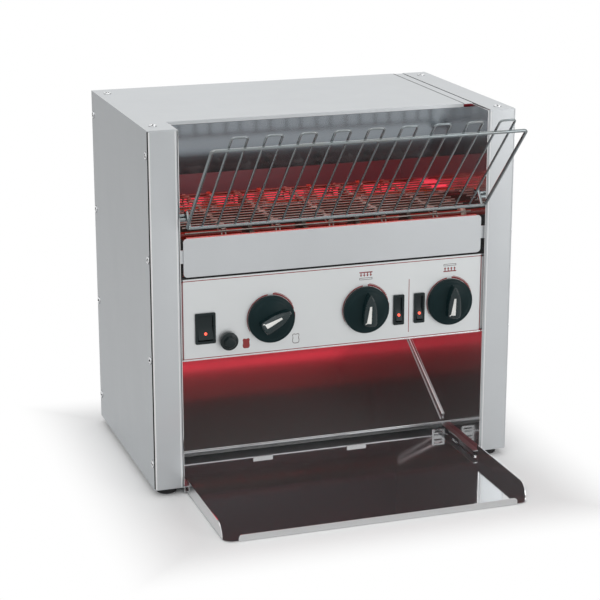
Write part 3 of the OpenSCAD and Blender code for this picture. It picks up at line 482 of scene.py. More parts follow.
def make_materials(looks):
    """Every finish of the machine, kept by its own name."""
    sheet = looks.polished
    belt = (TOP_Z - 125) * MM
    finishes = dict(
        satin=brushed("satin steel", looks.satin, looks.satin_roughness),
        panel=brushed("panel steel", looks.panel, 0.42, 0.1, 0.02, 0.03, 0.8),
        tinted=brushed("heat-tinted steel", looks.tinted, 0.5, 0.1, 0.12, 0.04, 0.97),
        # the heat-tinted steel at a third of its colour, for the reflector under the tubes, the belt support and the
        # idler
        darker_tint=brushed("burnt steel", toned(looks.tinted, 0.35), 0.6, 0.1, 0.1, 0.04, 0.9),
        fold=brushed("folded steel", sheet, 0.22, 0.08, 0.02, 0.02, 0.95),
        polished=polished("polished steel", sheet),
        slide=polished("slide steel", sheet, 0.09, 0.03, 0.87),
        tray=polished("tray steel", sheet, 0.05, 0.02, 0.93),
        # baffle: polished steel darkened into a painted dark reflection
        slate=polished("baffle steel", looks.slate, 0.11, 0.03, 0.94),
        # rear guide: painted red glow of the tubes and a painted belt shadow, over half the baffle's painted dark
        # reflection
        reddened=reddened("reddened steel", toned(looks.slate, 0.5), looks.sheet_glow, belt),
        # bright edge and fold edge: painted highlights by emission
        bright=edge_metal("bright edge", (0.86, 0.88, 0.89), 0.28),
        fold_edge=edge_metal("fold edge", (0.86, 0.86, 0.86), 0.03),
        # rack wire darkened: painted dark reflection in the chrome
        wire=wire_metal("chromed wire", looks.chrome, 0.12, (0.2, 0.17, 0.14), 0.5),
        belt=wire_metal("belt wire", (0.3, 0.27, 0.25), 0.34, (0.12, 0.07, 0.05), 0.9),
        plated=cast("plated steel", (0.55, 0.56, 0.58), 0.38, 1.0),
        chain=cast("oiled steel", (0.28, 0.28, 0.29), 0.34, 1.0),
        painted=cast("motor paint", (0.09, 0.1, 0.11), 0.5),
        ceramic=cast("ceramic", (0.72, 0.68, 0.58), 0.35, 0.0, 300.0),
        bronze=cast("bronze", (0.52, 0.33, 0.15), 0.4, 1.0, 500.0),
        screw=cast("screw plating", (0.8, 0.81, 0.82), 0.2, 1.0, 400.0),
        knob=moulded("knob plastic", looks.knob, 0.34, 1200.0, 0.05, Specular_IOR_Level=0.12),
        grip=moulded("grip plastic", looks.knob, 0.2, 1200.0, 0.03, Specular_IOR_Level=0.5),
        plastic=moulded("switch plastic", (0.005, 0.012, 0.013), 0.28, 1000.0, 0.04, Specular_IOR_Level=0.3),
        rubber=moulded("rubber", (0.016, 0.016, 0.017), 0.72, 500.0, 0.2),
        white=moulded("white ink", (0.8, 0.8, 0.77), 0.45, 900.0, 0.03),
        printed=moulded("red print", looks.print_red, 0.5, 900.0, 0.04),
        grey_print=moulded("grey print", (0.12, 0.1, 0.1), 0.5, 900.0, 0.04),
        # dark gap: painted shade, put in the joints, the screws' recesses and under the screw heads
        shadow=moulded("dark gap", (0.01, 0.01, 0.01), 0.8),
        lamp=lens("lamp lens", (0.8, 0.02, 0.012), (1.0, 0.22, 0.13), 1.7),
        heater=glowing("hot quartz", (0.62, 0.012, 0.006), (0.95, 0.07, 0.02), looks.heat),
        lower_heater=glowing("warm quartz", (0.17, 0.014, 0.01), (0.7, 0.04, 0.015), looks.lower_heat),
    )
    MATERIALS.update((name, finish.material) for name, finish in finishes.items())


# ---------- shapes of the controls ----------


def on_dial(u, v, w, centre, turn):
    """Points (u right, v up, w out of the panel) on a control turned clockwise by turn degrees."""
    a = radians(turn)
    x = centre[0] + u * cos(a) + v * sin(a)
    z = centre[1] - u * sin(a) + v * cos(a)
    return np.stack([x, PANEL_Y - w, z], -1)


def arch(count, half, drop, tip):
    """Outline of a grip: a squared-off low end under (0, -drop), then two sides that run almost level
    and close to a point, half * (1 - share ** 3.2) wide at a share of the way up. Returned as (u, v)
    counter-clockwise, with its outward normals."""
    belly = 5.5
    a = np.linspace(pi, 2 * pi, count // 3, endpoint=False)
    c, s = np.cos(a), np.sin(a)
    low = np.stack([half * np.sign(c) * np.abs(c) ** 0.6, -drop - belly * np.abs(s) ** 0.7], -1)
    share = np.sin(np.linspace(0, pi / 2, count // 3, endpoint=False))
    right = np.stack([half * (1 - share**3.2), -drop + (tip + drop) * share], -1)
    left = (right * [-1, 1])[:0:-1]
    ring = np.concatenate([low, right, [[0, tip]], left])
    way = unit(np.roll(ring, -1, 0) - np.roll(ring, 1, 0))
    return ring, np.stack([way[:, 1], -way[:, 0]], -1)


def grip_top(u, v, height):
    """Height of the grip over the panel: highest along a ridge right of the middle, falling in a flat
    facet to the left and in a round shoulder to the right."""
    left = np.maximum(1.2 - u, 0) * 0.42
    right = 0.055 * np.maximum(u - 2.2, 0) ** 2
    ends = 0.006 * np.maximum(np.abs(v - 2) - 8, 0) ** 2
    return height - left - right - ends


def grip(centre, turn, height, tail, drop, tip):
    """Grip of a knob as rows of its outline: rows climb the wall from inside the skirt with a small
    flare, round the rim, then shrink towards the spine while following grip_top."""
    foot, rim_inset = 5, 1.5
    wall = ((0.0, -1.4), (0.25, -0.5), (0.55, 0), (0.85, 0.1), (0.94, 0.35), (0.985, 0.8), (1.0, rim_inset))
    ring, normal = arch(96, tail, drop, tip)
    rim = grip_top(ring[:, 0], ring[:, 1], height)
    rows = []
    for climb, inset in wall:
        p = ring - normal * inset
        rows.append(on_dial(p[:, 0], p[:, 1], foot + (rim - foot) * climb, centre, turn))
    spine = np.stack([0 * ring[:, 0], np.clip(ring[:, 1], -drop, tip * 0.7)], -1)
    edge = ring - normal * rim_inset
    for share in (0.8, 0.55, 0.3, 0.02):
        p = spine + (edge - spine) * share
        rows.append(on_dial(p[:, 0], p[:, 1], grip_top(p[:, 0], p[:, 1], height), centre, turn))
    return np.stack(rows), sleeve(len(rows), len(ring))


def wedge(centre, turn, height):
    """White indicator let into the grip's left facet: a four-cornered patch of grid points that runs
    from low to high beside the middle and follows grip_top just above it, with its edges turned down
    into the grip."""
    low, high, wide, narrow, side = -14.0, 10.5, 7.4, 2.6, -3.2
    proud, sunk = 0.12, -0.5
    s, t = np.meshgrid(np.linspace(0, 1, 14), np.linspace(-1, 1, 7), indexing="ij")
    v = low + (high - low) * s
    half = wide / 2 + (narrow - wide) / 2 * s
    u = side * (1 - s * 0.7) + half * t
    lift = np.where(np.abs(t) > 0.99, sunk, proud)
    lift[[0, -1]] = sunk
    return on_dial(u, v, grip_top(u, v, height) + lift, centre, turn), quads(*s.shape).tolist()


def dial_arc(centre, radius, start, end, inner, outer):
    """Printed band round a dial from start to end degrees clockwise of straight up. Its inner and its
    outer edge each run from one distance over the radius to another."""
    a = np.radians(np.linspace(start, end, 40))
    edges = []
    for first, last in (inner, outer):
        r = np.linspace(radius + first, radius + last, len(a))
        edges.append(np.stack([centre[0] + r * np.sin(a), centre[1] + r * np.cos(a)], -1))
    return strip(*edges)


def line(p, q, width):
    """Straight printed line between two points (x, z)."""
    ends = np.array([p, q], float)
    d = unit(ends[1] - ends[0])
    side = np.array([-d[1], d[0]]) * width / 2
    return strip(ends + side, ends - side)


def slice_outline(centre):
    """Outline of a slice of bread: a squared-off ellipse whose upper third swells into two lobes."""
    wide, high = 9.5, 12.5
    a = around(48)
    c, s = np.cos(a), np.sin(a)
    x = np.sign(c) * np.abs(c) ** 0.5
    z = np.sign(s) * np.abs(s) ** 0.5
    waist = 1 - 0.2 * np.exp(-(((z - 0.25) / 0.28) ** 2)) - 0.06 * (z < 0.2)
    dip = 0.14 * np.exp(-((x / 0.35) ** 2)) * (z > 0.5)
    return np.stack([centre[0] + wide / 2 * x * waist, centre[1] + high / 2 * (z - dip)], -1)


def filled(outline):
    """Printed shape filled from edge to edge: two flat faces and the thin wall between them."""
    count = len(outline)
    front = np.stack([outline[:, 0], np.full(count, PANEL_Y - PRINT_DEPTH), outline[:, 1]], -1)
    back = front + [0, PRINT_DEPTH + PRINT_ROOT, 0]
    ring = list(range(count))
    walls = [[i, (i + 1) % count, count + (i + 1) % count, count + i][::-1] for i in ring]
    return np.concatenate([front, back]), [ring, [count + i for i in ring[::-1]], *walls]


# ---------- settings ----------


def swatch(name, description, default):
    """A colour among the settings."""
    return FloatVectorProperty(name=name, description=description, subtype="COLOR", default=default)


def number(name, description, default, **limits):
    """A number among the settings."""
    return FloatProperty(name=name, description=description, default=default, **limits)


class ToasterLooks(bpy.types.PropertyGroup):
    """Finishes of the machine."""

    satin: swatch("Satin steel", "Colour of the outer sheets", (0.56, 0.58, 0.595))
    satin_roughness: number("Satin roughness", "Roughness of the outer sheets", 0.4, min=0, max=1)
    panel: swatch("Panel", "Colour of the control panel", (0.68, 0.7, 0.705))
    polished: swatch("Polished steel", "Colour of the inner sheets and tray", (0.66, 0.665, 0.67))
    tinted: swatch("Tinted steel", "Colour of the oven's sheets, browned by heat", (0.3, 0.25, 0.215))
    # the mirror baffle's colour darkened: a painted reflection of dark surroundings, not the steel's own tone
    slate: swatch("Baffle steel", "Colour of the mirror baffle", (0.33, 0.365, 0.395))
    # colour of the red light painted onto the rear guide as emission; the sheet is no lamp
    sheet_glow: swatch("Sheet glow", "Glow of the rear guide behind the tubes", (2.0, 0.1, 0.17))
    # wire colour darker than real chrome: a painted reflection of dark surroundings
    chrome: swatch("Chrome", "Colour of the rack's wire", (0.25, 0.28, 0.29))
    knob: swatch("Knob", "Colour of the knobs", (0.005, 0.017, 0.019))
    print_red: swatch("Print", "Colour of the printed marks", (0.25, 0.02, 0.021))
    heat: number("Heat", "Strength of the upper tubes' glow", 3.2, min=0)
    lower_heat: number("Lower heat", "Strength of the lower tubes' glow", 0.08, min=0)


class ToasterWire(bpy.types.PropertyGroup):
    """Wirework of the feed rack and the belt, in millimetres."""

    frame_d: number("Frame wire", "Diameter of the rack's frame wire", 4.0)
    hairpin_d: number("Hairpin wire", "Diameter of the rack's hairpins", 2.7)
    hairpins: IntProperty(name="Hairpins", description="Number of hairpins across the rack", default=9)
    belt_d: number("Belt wire", "Diameter of the belt's cross wires", 2.2)
    links: IntProperty(name="Links", description="Hooked links across each belt wire", default=5)


class ToasterControls(bpy.types.PropertyGroup):
    """Controls on the panel, in millimetres and degrees."""

    speed_turn: number("Speed knob", "Clockwise turn of the speed knob", 60.0)
    grip_tail: number("Grip half width", "Half width of the grip at its low end", 8.4)
    grip_tip: number("Grip tip", "Reach of the grip's point over the axis", 22.4)
    line: number("Border", "Width of the panel's printed border", 0.9)


class ToasterStage(bpy.types.PropertyGroup):
    """Studio round the machine."""

    floor: swatch("Floor", "Colour of the floor", (0.97, 0.97, 0.97))
    lens: number("Lens", "Focal length of the camera in millimetres", 112.6)
    camera: FloatVectorProperty(
        name="Camera", description="Place of the camera", subtype="XYZ", unit="LENGTH", default=(-0.738, -2.115, 0.855)
    )
    key: number("Key light", "Power of the main lamp in watts", 22.0)
    fill: number("Fill light", "Power of the lamp from the right in watts", 18.0)
    top: number("Top light", "Power of the lamp overhead in watts", 7.5)
    ambient: number("Ambient", "Level of the light from all round", 0.5)


# ---------- operators ----------


class Step(bpy.types.Operator):
    """Part of the machine"""

    bl_options = {"REGISTER", "UNDO"}

    def __init_subclass__(cls):
        """Names each step after its class, such as toaster.feed_rack with the label Feed rack."""
        name = cls.__name__.split("_OT_")[1]
        cls.bl_idname, cls.bl_label = "toaster." + name, name.replace("_", " ").capitalize()

    def execute(self, context):
        self.build(context.scene)
        return {"FINISHED"}


class TOASTER_OT_stage(Step):
    """Camera, floor, lamps and background"""

    camera_turn, camera_tilt = 0.3263, 0.2817
    floor_reach = 30

    def build(self, scene):
        stage = scene.toaster_stage
        scene.view_settings.view_transform = "Standard"
        for made in (self.camera, self.lamps, self.world, self.floor):
            made(scene, stage)

    def aimed(self, scene, data, place, ahead):
        """Adds a camera or lamp that looks ahead from its place."""
        obj = bpy.data.objects.new(data.name, data)
        scene.collection.objects.link(obj)
        obj.location = place
        obj.rotation_mode = "QUATERNION"
        obj.rotation_quaternion = ahead.to_track_quat("-Z", "Y")
        return obj

    def camera(self, scene, stage):
        """Camera turned to the right of the Y axis and tilted down, both in radians."""
        data = bpy.data.cameras.new("camera")
        data.lens = stage.lens
        data.sensor_width = 36
        turn, tilt = self.camera_turn, self.camera_tilt
        ahead = Vector((cos(tilt) * sin(turn), cos(tilt) * cos(turn), -sin(tilt)))
        scene.camera = self.aimed(scene, data, stage.camera, ahead)

    def lamps(self, scene, stage):
        target = Vector((0, 0, 0.2))
        for name, place, size, power in (
            ("key", (-1.6, -1.9, 2.4), 2.5, stage.key),
            ("fill", (1.9, -2.4, 0.9), 1.5, stage.fill),
            ("top", (0.2, 0.3, 2.6), 2.0, stage.top),
        ):
            data = bpy.data.lights.new(name, "AREA")
            data.size = size
            data.energy = power
            self.aimed(scene, data, place, target - Vector(place))

    def world(self, scene, stage):
        """White where the camera, metal and glass look, and a plain grey level for all other light."""
        scene.world = scene.world or bpy.data.worlds.new("studio")
        scene.world.use_nodes = True
        sky = Nodes(scene.world.node_tree)
        rays = sky.node("ShaderNodeLightPath")
        seen = sky.math("MAXIMUM", rays.part("Is Camera Ray"), rays.part("Is Transmission Ray"))
        shiny = sky.math("MAXIMUM", seen, rays.part("Is Glossy Ray"))
        level = sky.node("ShaderNodeMapRange", {"Value": shiny, "To Min": stage.ambient, "To Max": 1.0})
        background = sky.tree.nodes["Background"]
        sky.feed(background.inputs["Strength"], level)
        sky.feed(background.inputs["Color"], (1, 1, 1, 1))

    def floor(self, scene, stage):
        """Pale floor that keeps the shadow near the machine and runs out to plain white further off."""
        r = self.floor_reach
        mesh = bpy.data.meshes.new("floor")
        mesh.from_pydata([(-r, -r, 0), (r, -r, 0), (r, r, 0), (-r, r, 0)], [], [(0, 1, 2, 3)])
        floor = bpy.data.objects.new("floor", mesh)
        scene.collection.objects.link(floor)
        f = Finish("floor", stage.floor, Roughness=0.9, Specular_IOR_Level=0.0)
        beside, ahead = f.along("X").size() - 0.23, (f.along("Y") + 0.007).size() - 0.225
        far = f.rise(f.math("MAXIMUM", beside, ahead), -0.02, 0.1)
        camera = f.node("ShaderNodeLightPath").part("Is Camera Ray")
        white = f.node("ShaderNodeEmission", {"Strength": 1.0})
        mixed = f.node("ShaderNodeMixShader", {0: far * camera, 1: Link(f, f.shader.outputs[0]), 2: white})
        f.feed(f.tree.nodes["Material Output"].inputs["Surface"], mixed)
        mesh.materials.append(f.material)


class TOASTER_OT_housing(Step):
    """Outer sheets, columns and front plates"""

    def build(self, scene):
        for node in ("left_front_column", "right_front_column", "right_side_cover", "left_side_panel"):
            softened(node, "satin")
        softened("top_cover", "satin", width=0.55, segments=3)
        softened("front_cover", "satin", width=0.35)
        softened("control_panel", "panel", width=0.25)
        paint("satin", "base_pan", "back_panel", "control_box")
        self.joints()
        self.folds()

    def folds(self):
        """Rounded folds of the columns and of the panel's lower edge, which stand a hair proud of the sheets and catch
        the light, the columns' with a faint painted highlight as well: straight tubes let into the corners."""
        wall, slot = PANEL_HIGH[0] + 3, slot_of("left_front_column")
        uprights = []
        for x, r in ((-SIDE_X + 2.25, 1.0), (-wall - 0.95, 0.75), (wall + 0.95, 0.85)):
            ends = [(x, FRONT_Y + r - 0.16, z) for z in (SKIN_LOW[2] + 1.5, TOP_Z - 2)]
            uprights.append(tube(ends, r, (1, 0, 0), 14))
        # fold_edge paints a faint highlight on the columns' folds
        piece("column_folds", uprights, "fold_edge", HOUSING, sharp=60)
        ends = [(x, PANEL_Y + 0.85, PANEL_LOW[2] + 0.95) for x in (PANEL_LOW[0] + 0.5, PANEL_HIGH[0] - 0.5)]
        piece("panel_fold", [tube(ends, 0.95, (0, 0, 1), 14)], "fold", HOUSING, sharp=60)

    def joints(self):
        """Dark strips that paint the shade in the joints between the sheets, as blocks between two corners each: the
        left column's, the panel's, both sides of the cover over and under its tabs, and two in the roof."""
        cover_low, cover_high = span("front_cover")
        tab_low, tab_high = cover_high[2] - 31, cover_high[2] - 13
        wall, roof_edge = cover_high[0], span("top_cover")[1][0]
        near, deep = PANEL_Y + 1.6, PANEL_Y + 4.5
        strips = [
            ((-SIDE_X + 0.15, FRONT_Y + 1.3, SKIN_LOW[2] + 2), (-SIDE_X + 1.25, FRONT_Y + 2.3, TOP_Z - 1.4)),
            ((-wall + 0.2, near, PANEL_HIGH[2] - 0.2), (wall - 0.2, deep, cover_low[2] - 0.1)),
        ]
        for side in (-1, 1):
            x0, x1 = sorted((side * (wall - 3.8), side * (wall - 0.2)))
            for z0, z1 in ((cover_low[2], tab_low), (tab_high, cover_high[2] - 1)):
                strips.append(((x0, near, z0), (x1, deep, z1)))
        strips += [
            ((roof_edge - 0.25, FRONT_Y + 49, TOP_Z - 0.9), (roof_edge + 1.0, BACK_Y - 2, TOP_Z + 0.06)),
            ((SIDE_X - 35.9, FRONT_Y + 38, TOP_Z - 4), (SIDE_X - 34.1, BACK_Y - 2, TOP_Z - 1.2)),
        ]
        # the shadow finish: painted shade in the joints
        piece("painted_joint_shade", [block(*corners) for corners in strips], "shadow", HOUSING)


class TOASTER_OT_inner_sheets(Step):
    """Mirror-finished walls, baffle, reflectors, slide and pull-out tray"""

    flange, rolled_z = 24, 7.2

    def build(self, scene):
        paint("polished", "left_inner_wall", "tray_rails")
        paint("tinted", "upper_reflector")
        paint("darker_tint", "lower_reflector")
        # the rear guide carries the painted red glow and the belt's painted shadow
        paint("reddened", "rear_guide")
        softened("right_inner_wall", "polished", width=0.2, above=(TOP_Z - 1.5, "satin"))
        # the baffle gets the painted dark reflection
        softened("upper_baffle", "slate", width=0.25)
        softened("discharge_slide", "slide", width=0.25)
        self.rolled_edges()
        softened("outfeed_tray", "tray", "crumb_tray", width=0)

    def rolled_edges(self):
        """Rolled edges along the slide's side flanges, bright with a painted highlight: straight tubes over the
        flanges' tops.
        """
        low, high = span("discharge_slide")
        slope = (high[2] - self.flange - low[2]) / (high[1] - low[1])
        y = np.array([low[1] + 5, high[1] - 12])
        z = low[2] + slope * (y - low[1]) + self.rolled_z
        parts = []
        for side in (-1, 1):
            ends = np.stack([side * (high[0] - 1.05) + 0 * y, y, z], -1)
            parts.append(tube(ends, 1.0, (1, 0, 0), 10))
        # bright: painted highlight by emission
        piece("slide_rolled_edges", parts, "bright", HOUSING, sharp=60)


class TOASTER_OT_cover_screws(Step):
    """Pan-head screws with a cross recess"""

    radius, dome, half_arm, arm_reach, recess = 4.5, 1.85, 1.25, 3.75, 1.1

    def head(self, way, turn):
        """Head as a disc grid: height is a dome over radius, lowered inside a cross whose arms are
        where the smaller of the two turned coordinates is small; way gives its three axes."""
        rings, sides = 11, 32
        share = np.concatenate([np.linspace(0.02, 0.78, rings - 3), [0.9, 0.98, 1.0]])[:, None]
        a = around(sides)[None]
        u, v = self.radius * share * np.cos(a), self.radius * share * np.sin(a)
        h = self.dome * np.sqrt(np.maximum(1 - (share * 0.93) ** 2, 0)) ** 0.8 + 0 * a
        p, q = u * cos(turn) + v * sin(turn), v * cos(turn) - u * sin(turn)
        arm = np.clip((self.half_arm - np.minimum(np.abs(p), np.abs(q))) / 0.2, 0, 1)
        reach = np.clip((self.arm_reach - np.hypot(u, v)) / 0.3, 0, 1)
        h = h - self.recess * arm * reach
        h[-1] = 0
        return np.stack([u, v, h], -1) @ way, [f[::-1] for f in sleeve(rings, sides)]

    def cross(self, way, turn):
        """Painted shade on the floor of the recess, two crossed dark blocks turned with the head, and a painted shadow
        under the head, a low dark disc a little wider than it."""
        # dark disc under the head: painted shadow
        rim, faces = turned([(4.2, 0.02), (4.85, 0.02), (4.85, 0.16), (4.2, 0.16)], (0, 0, 0), sides=24)
        parts = [(rim.reshape(-1, 3), faces)]
        for extra in (0, pi / 2):
            p, faces = block((-3.4, -1.1, 0.2), (3.4, 1.1, 1.02))
            c, s = cos(turn + extra), sin(turn + extra)
            parts.append((np.stack([p[:, 0] * c - p[:, 1] * s, p[:, 0] * s + p[:, 1] * c, p[:, 2]], -1), faces))
        return joined([(p @ np.array(way), faces) for p, faces in parts])

    def build(self, scene):
        deep, high = BACK_Y - FRONT_Y, TOP_Z - SKIN_LOW[2]
        levels = [SKIN_LOW[2] + 32, SKIN_LOW[2] + high * 0.37, SKIN_LOW[2] + high * 0.65, TOP_Z - 30]
        spots = [
            ((side * SIDE_X, FRONT_Y + y, z), [[0, -side, 0], [0, 0, 1], [side, 0, 0]], 1.37)
            for y in (8, deep - 8) for z in levels for side in (-1, 1)
        ]
        for x, y in ((-SIDE_X + 14, 28), (-SIDE_X + 14, deep - 30), (SIDE_X - 17, 18), (SIDE_X - 17, deep - 24)):
            spots.append(((x, FRONT_Y + y, TOP_Z), np.eye(3), 0.9))
        heads, marks, turn = [], [], 0.3
        for spot, way, step in spots:
            turn += step
            heads += copies(self.head(way, turn), [spot])
            marks += copies(self.cross(way, turn), [spot])
        # the recess blocks and the discs under the heads are painted shade
        piece("cover_screw_painted_shade", marks, "shadow", HOUSING)
        piece("cover_screw_heads", heads, "screw", HOUSING, ["cover_screws"], 40)


class TOASTER_OT_knobs(Step):
    """Speed and heat knobs with their white indicators"""

    grip_drop = 11.5
    skirt = (
        (-2.2, 0.6), (-0.5, 0.6), (0, 1.2), (0, 4.8), (-0.25, 5.5), (-0.9, 6.1),
        (-2.2, 6.5), (-4, 6.9), (-4.4, 7.3), (-8, 8.2), (-14, 9.6),
    )

    def build(self, scene):
        """The skirt is turned: distances from the knob's own radius, then a disc that closes it."""
        looks = scene.toaster_controls
        for name in KNOBS:
            knob, body = name + "_knob", name + "_dial"
            turn = looks.speed_turn if name == "speed" else 0
            centre, radius = round_face(knob)
            height = PANEL_Y - span(knob)[0][1]
            profile = [(radius + r, h) for r, h in self.skirt] + [(10, 10.8), (3, 11.2), (0.3, 11.2)]
            disc = turned(profile, (centre[0], PANEL_Y, centre[1]), "-Y", 96)
            handle = grip(centre, turn, height, looks.grip_tail, self.grip_drop, looks.grip_tip)
            piece(knob + "_body", [disc], "knob", body, [knob], 38)
            piece(knob + "_grip", [handle], "grip", body, sharp=38)
            piece(knob + "_mark", [wedge(centre, turn, height)], "white", body, [name + "_pointer"], 50)


class TOASTER_OT_switches(Step):
    """Rocker switches with lit lenses, and the reset button"""

    dome = ((1.75, -1.0), (1.75, 0.2), (1.6, 0.55), (1.2, 0.85), (0.6, 1.05), (0.05, 1.1))
    collar = ((9.5, 3), (10.6, 3), (11, 3.5), (11, 6.4), (10.6, 7), (9.6, 7.3))
    cap = ((7.4, 7.9), (7.2, 8.6), (6.9, 11.6), (6.2, 12.6), (4.5, 13.1), (0.3, 13.3))

    def eight_sided(self, a, h):
        """Radius over that of a round cap: cos(22.5°) / cos(angle from the middle of the nearest side)
        above the collar, and 1 on it."""
        side = pi / 4
        flat = np.cos(side / 2) / np.cos((a + side / 2) % side - side / 2)
        return np.where(h > 7.4, flat, 1.0)

    def build(self, scene):
        softened("power_switch", "plastic", width=0.5, segments=3)
        softened("heat_switches", "plastic", width=0.4, segments=3)
        for name in ("power", "upper_heat", "lower_heat"):
            key, lamp = name + "_key", name + "_lamp"
            softened(name + "_rocker", "plastic", key, width=0.5, segments=3)
            x, _, z = middle(lamp)
            eye = turned(self.dome, (x, span(lamp)[0][1] + 0.6, z), "-Y", 24)
            piece(lamp + "_lens", [eye], "lamp", key, [lamp], 60)
        x, _, z = middle("reset_cap")
        button = turned(self.collar + self.cap, (x, PANEL_Y, z), "-Y", 64, self.eight_sided)
        piece("reset_button", [button], "plastic", "reset_button", ["reset_cap"], 30)


class TOASTER_OT_panel_print(Step):
    """Printed border, dial bands and pictograms"""

    def dial(self, centre, radius):
        """Band that starts thin at eight o'clock, breaks at the top, swells in two steps to two o'clock
        and ends thin at five."""
        bands = (
            (-118, -7, (0.3, 0.3), (0.9, 1.7)),
            (5, 72, (0.4, 0.4), (2.6, 1.8)),
            (8, 60, (3.0, 2.2), (3.6, 2.6)),
            (80, 150, (0.3, 0.3), (2.0, 0.8)),
        )
        return [dial_arc(centre, radius, *band) for band in bands]

    def tubes(self, x, bar, toward):
        """Bar with four arrows that point up or down, as toward says."""
        marks = [line((x - 8.5, bar), (x + 8.5, bar), 1.3)]
        for k in range(4):
            px = x - 6.3 + 4.2 * k
            marks.append(line((px, bar), (px, bar + toward * 4.4), 1.1))
            marks += [line((px + s * 1.2, bar + toward * 3.0), (px, bar + toward * 4.9), 0.7) for s in (-1, 1)]
        return marks

    def bread(self, x, z):
        """Slice seen edge on: a long low box."""
        marks = [line((x - 8, z + s), (x + 8, z + s), 0.6) for s in (-1, 1)]
        return marks + [line((x + s * 8, z - 1.3), (x + s * 8, z + 1.3), 0.6) for s in (-1, 1)]

    def build(self, scene):
        x0, x1 = PANEL_LOW[0] + 2.2, PANEL_HIGH[0] - 2.2
        z0, z1 = PANEL_LOW[2] + 2.4, PANEL_HIGH[2] - 2.4
        corners = [(x0, z0), (x1, z0), (x1, z1), (x0, z1)]
        width = scene.toaster_controls.line
        red = [line(p, q, width) for p, q in zip(corners, corners[1:] + corners[:1])]
        dials = {name: round_face(name + "_knob") for name in KNOBS}
        for centre, radius in dials.values():
            red += self.dial(centre, radius)
        (x, _), r = dials["speed"]
        low = PANEL_LOW[2] + 15.5
        dark, pale = (x - r - 2.0, low), (x + r + 2.5, low)
        red.append(filled(slice_outline(dark)))
        edge = slice_outline(pale)
        grey = [strip(edge, edge + unit(np.array(pale) - edge) * 0.8, closed=True)]
        for name, toward in (("upper_heat", -1), ("lower_heat", 1)):
            x, z = dials[name][0]
            base = z + r + 9.5
            bar, bread = (base + 8, base)[::-toward]
            red += self.tubes(x, bar, toward)
            grey += self.bread(x, bread)
        x = middle("heat_switches")[0]
        red.append(line((x, PANEL_LOW[2] + 9), (x, PANEL_HIGH[2] - 24), 0.8))
        piece("panel_print_red", red, "printed", HOUSING, sharp=20)
        piece("panel_print_grey", grey, "grey_print", HOUSING, sharp=20)


class TOASTER_OT_feed_rack(Step):
    """Welded wire rack that the bread slides down"""

    slope, wide, long, reach, hairpin_w, weld_gap = 45.5, 379.0, 157.0, 19.0, 21.4, 0.3
    rail = np.array([0, FRONT_Y - 9, TOP_Z - 115])
    bead = ((0.3, -1.1), (1.3, -0.9), (1.8, -0.3), (1.8, 0.3), (1.3, 0.9), (0.3, 1.1))
    hook = ((0, 0), (12, 16), (20, 16), (22, 8))

    def on_slope(self, p):
        """Rack coordinates (across, up the slope, out of it) turned about X: y cos a - z sin a and
        y sin a + z cos a."""
        a = radians(180 - self.slope)
        x, y, z = np.moveaxis(p, -1, 0)
        return np.stack([x, y * cos(a) - z * sin(a), y * sin(a) + z * cos(a)], -1)

    def wire(self, path, diameter, sides, closed=False):
        return tube(self.rail + self.on_slope(path), diameter / 2, self.on_slope([0, 0, 1]), sides, closed)

    def build(self, scene):
        wire = scene.toaster_wire
        d, h = wire.frame_d, wire.hairpin_d
        x = (self.wide - d) / 2
        frame = bent([(-x, 0, 0), (x, 0, 0), (x, self.long, 0), (-x, self.long, 0)], 3.5, 7, True)
        parts = [self.wire(frame, d, 12, True)]
        behind = -(d + h) / 2 + self.weld_gap
        step = (self.wide - d) / (wire.hairpins + 0.45)
        w, foot, top = (self.hairpin_w - h) / 2, -1.2, self.long + self.reach
        welds = []
        for k in range(wire.hairpins):
            c = (k - (wire.hairpins - 1) / 2) * step
            corners = ((c - w, foot), (c - w, top), (c + w, top), (c + w, foot))
            parts.append(self.wire(bent([(*p, behind) for p in corners], 4, 7), h, 10))
            welds += [(c + s * w, y, behind / 2) for s in (-1, 1) for y in (0, self.long)]
        for ball, faces in copies(turned(self.bead, (0, 0, 0), sides=10), welds):
            parts.append((self.rail + self.on_slope(ball), faces))
        for side in (-1, 1):
            path = [self.rail + (side * (self.wide / 2 - d / 2 - 4), *p) for p in self.hook]
            parts.append(tube(bent(path, 3.0, 7), d / 2, (1, 0, 0), 10))
        piece("rack_wirework", parts, "wire", "loading_rack", ["feed_rack"], 50)
        paint("wire", "rack_pins")


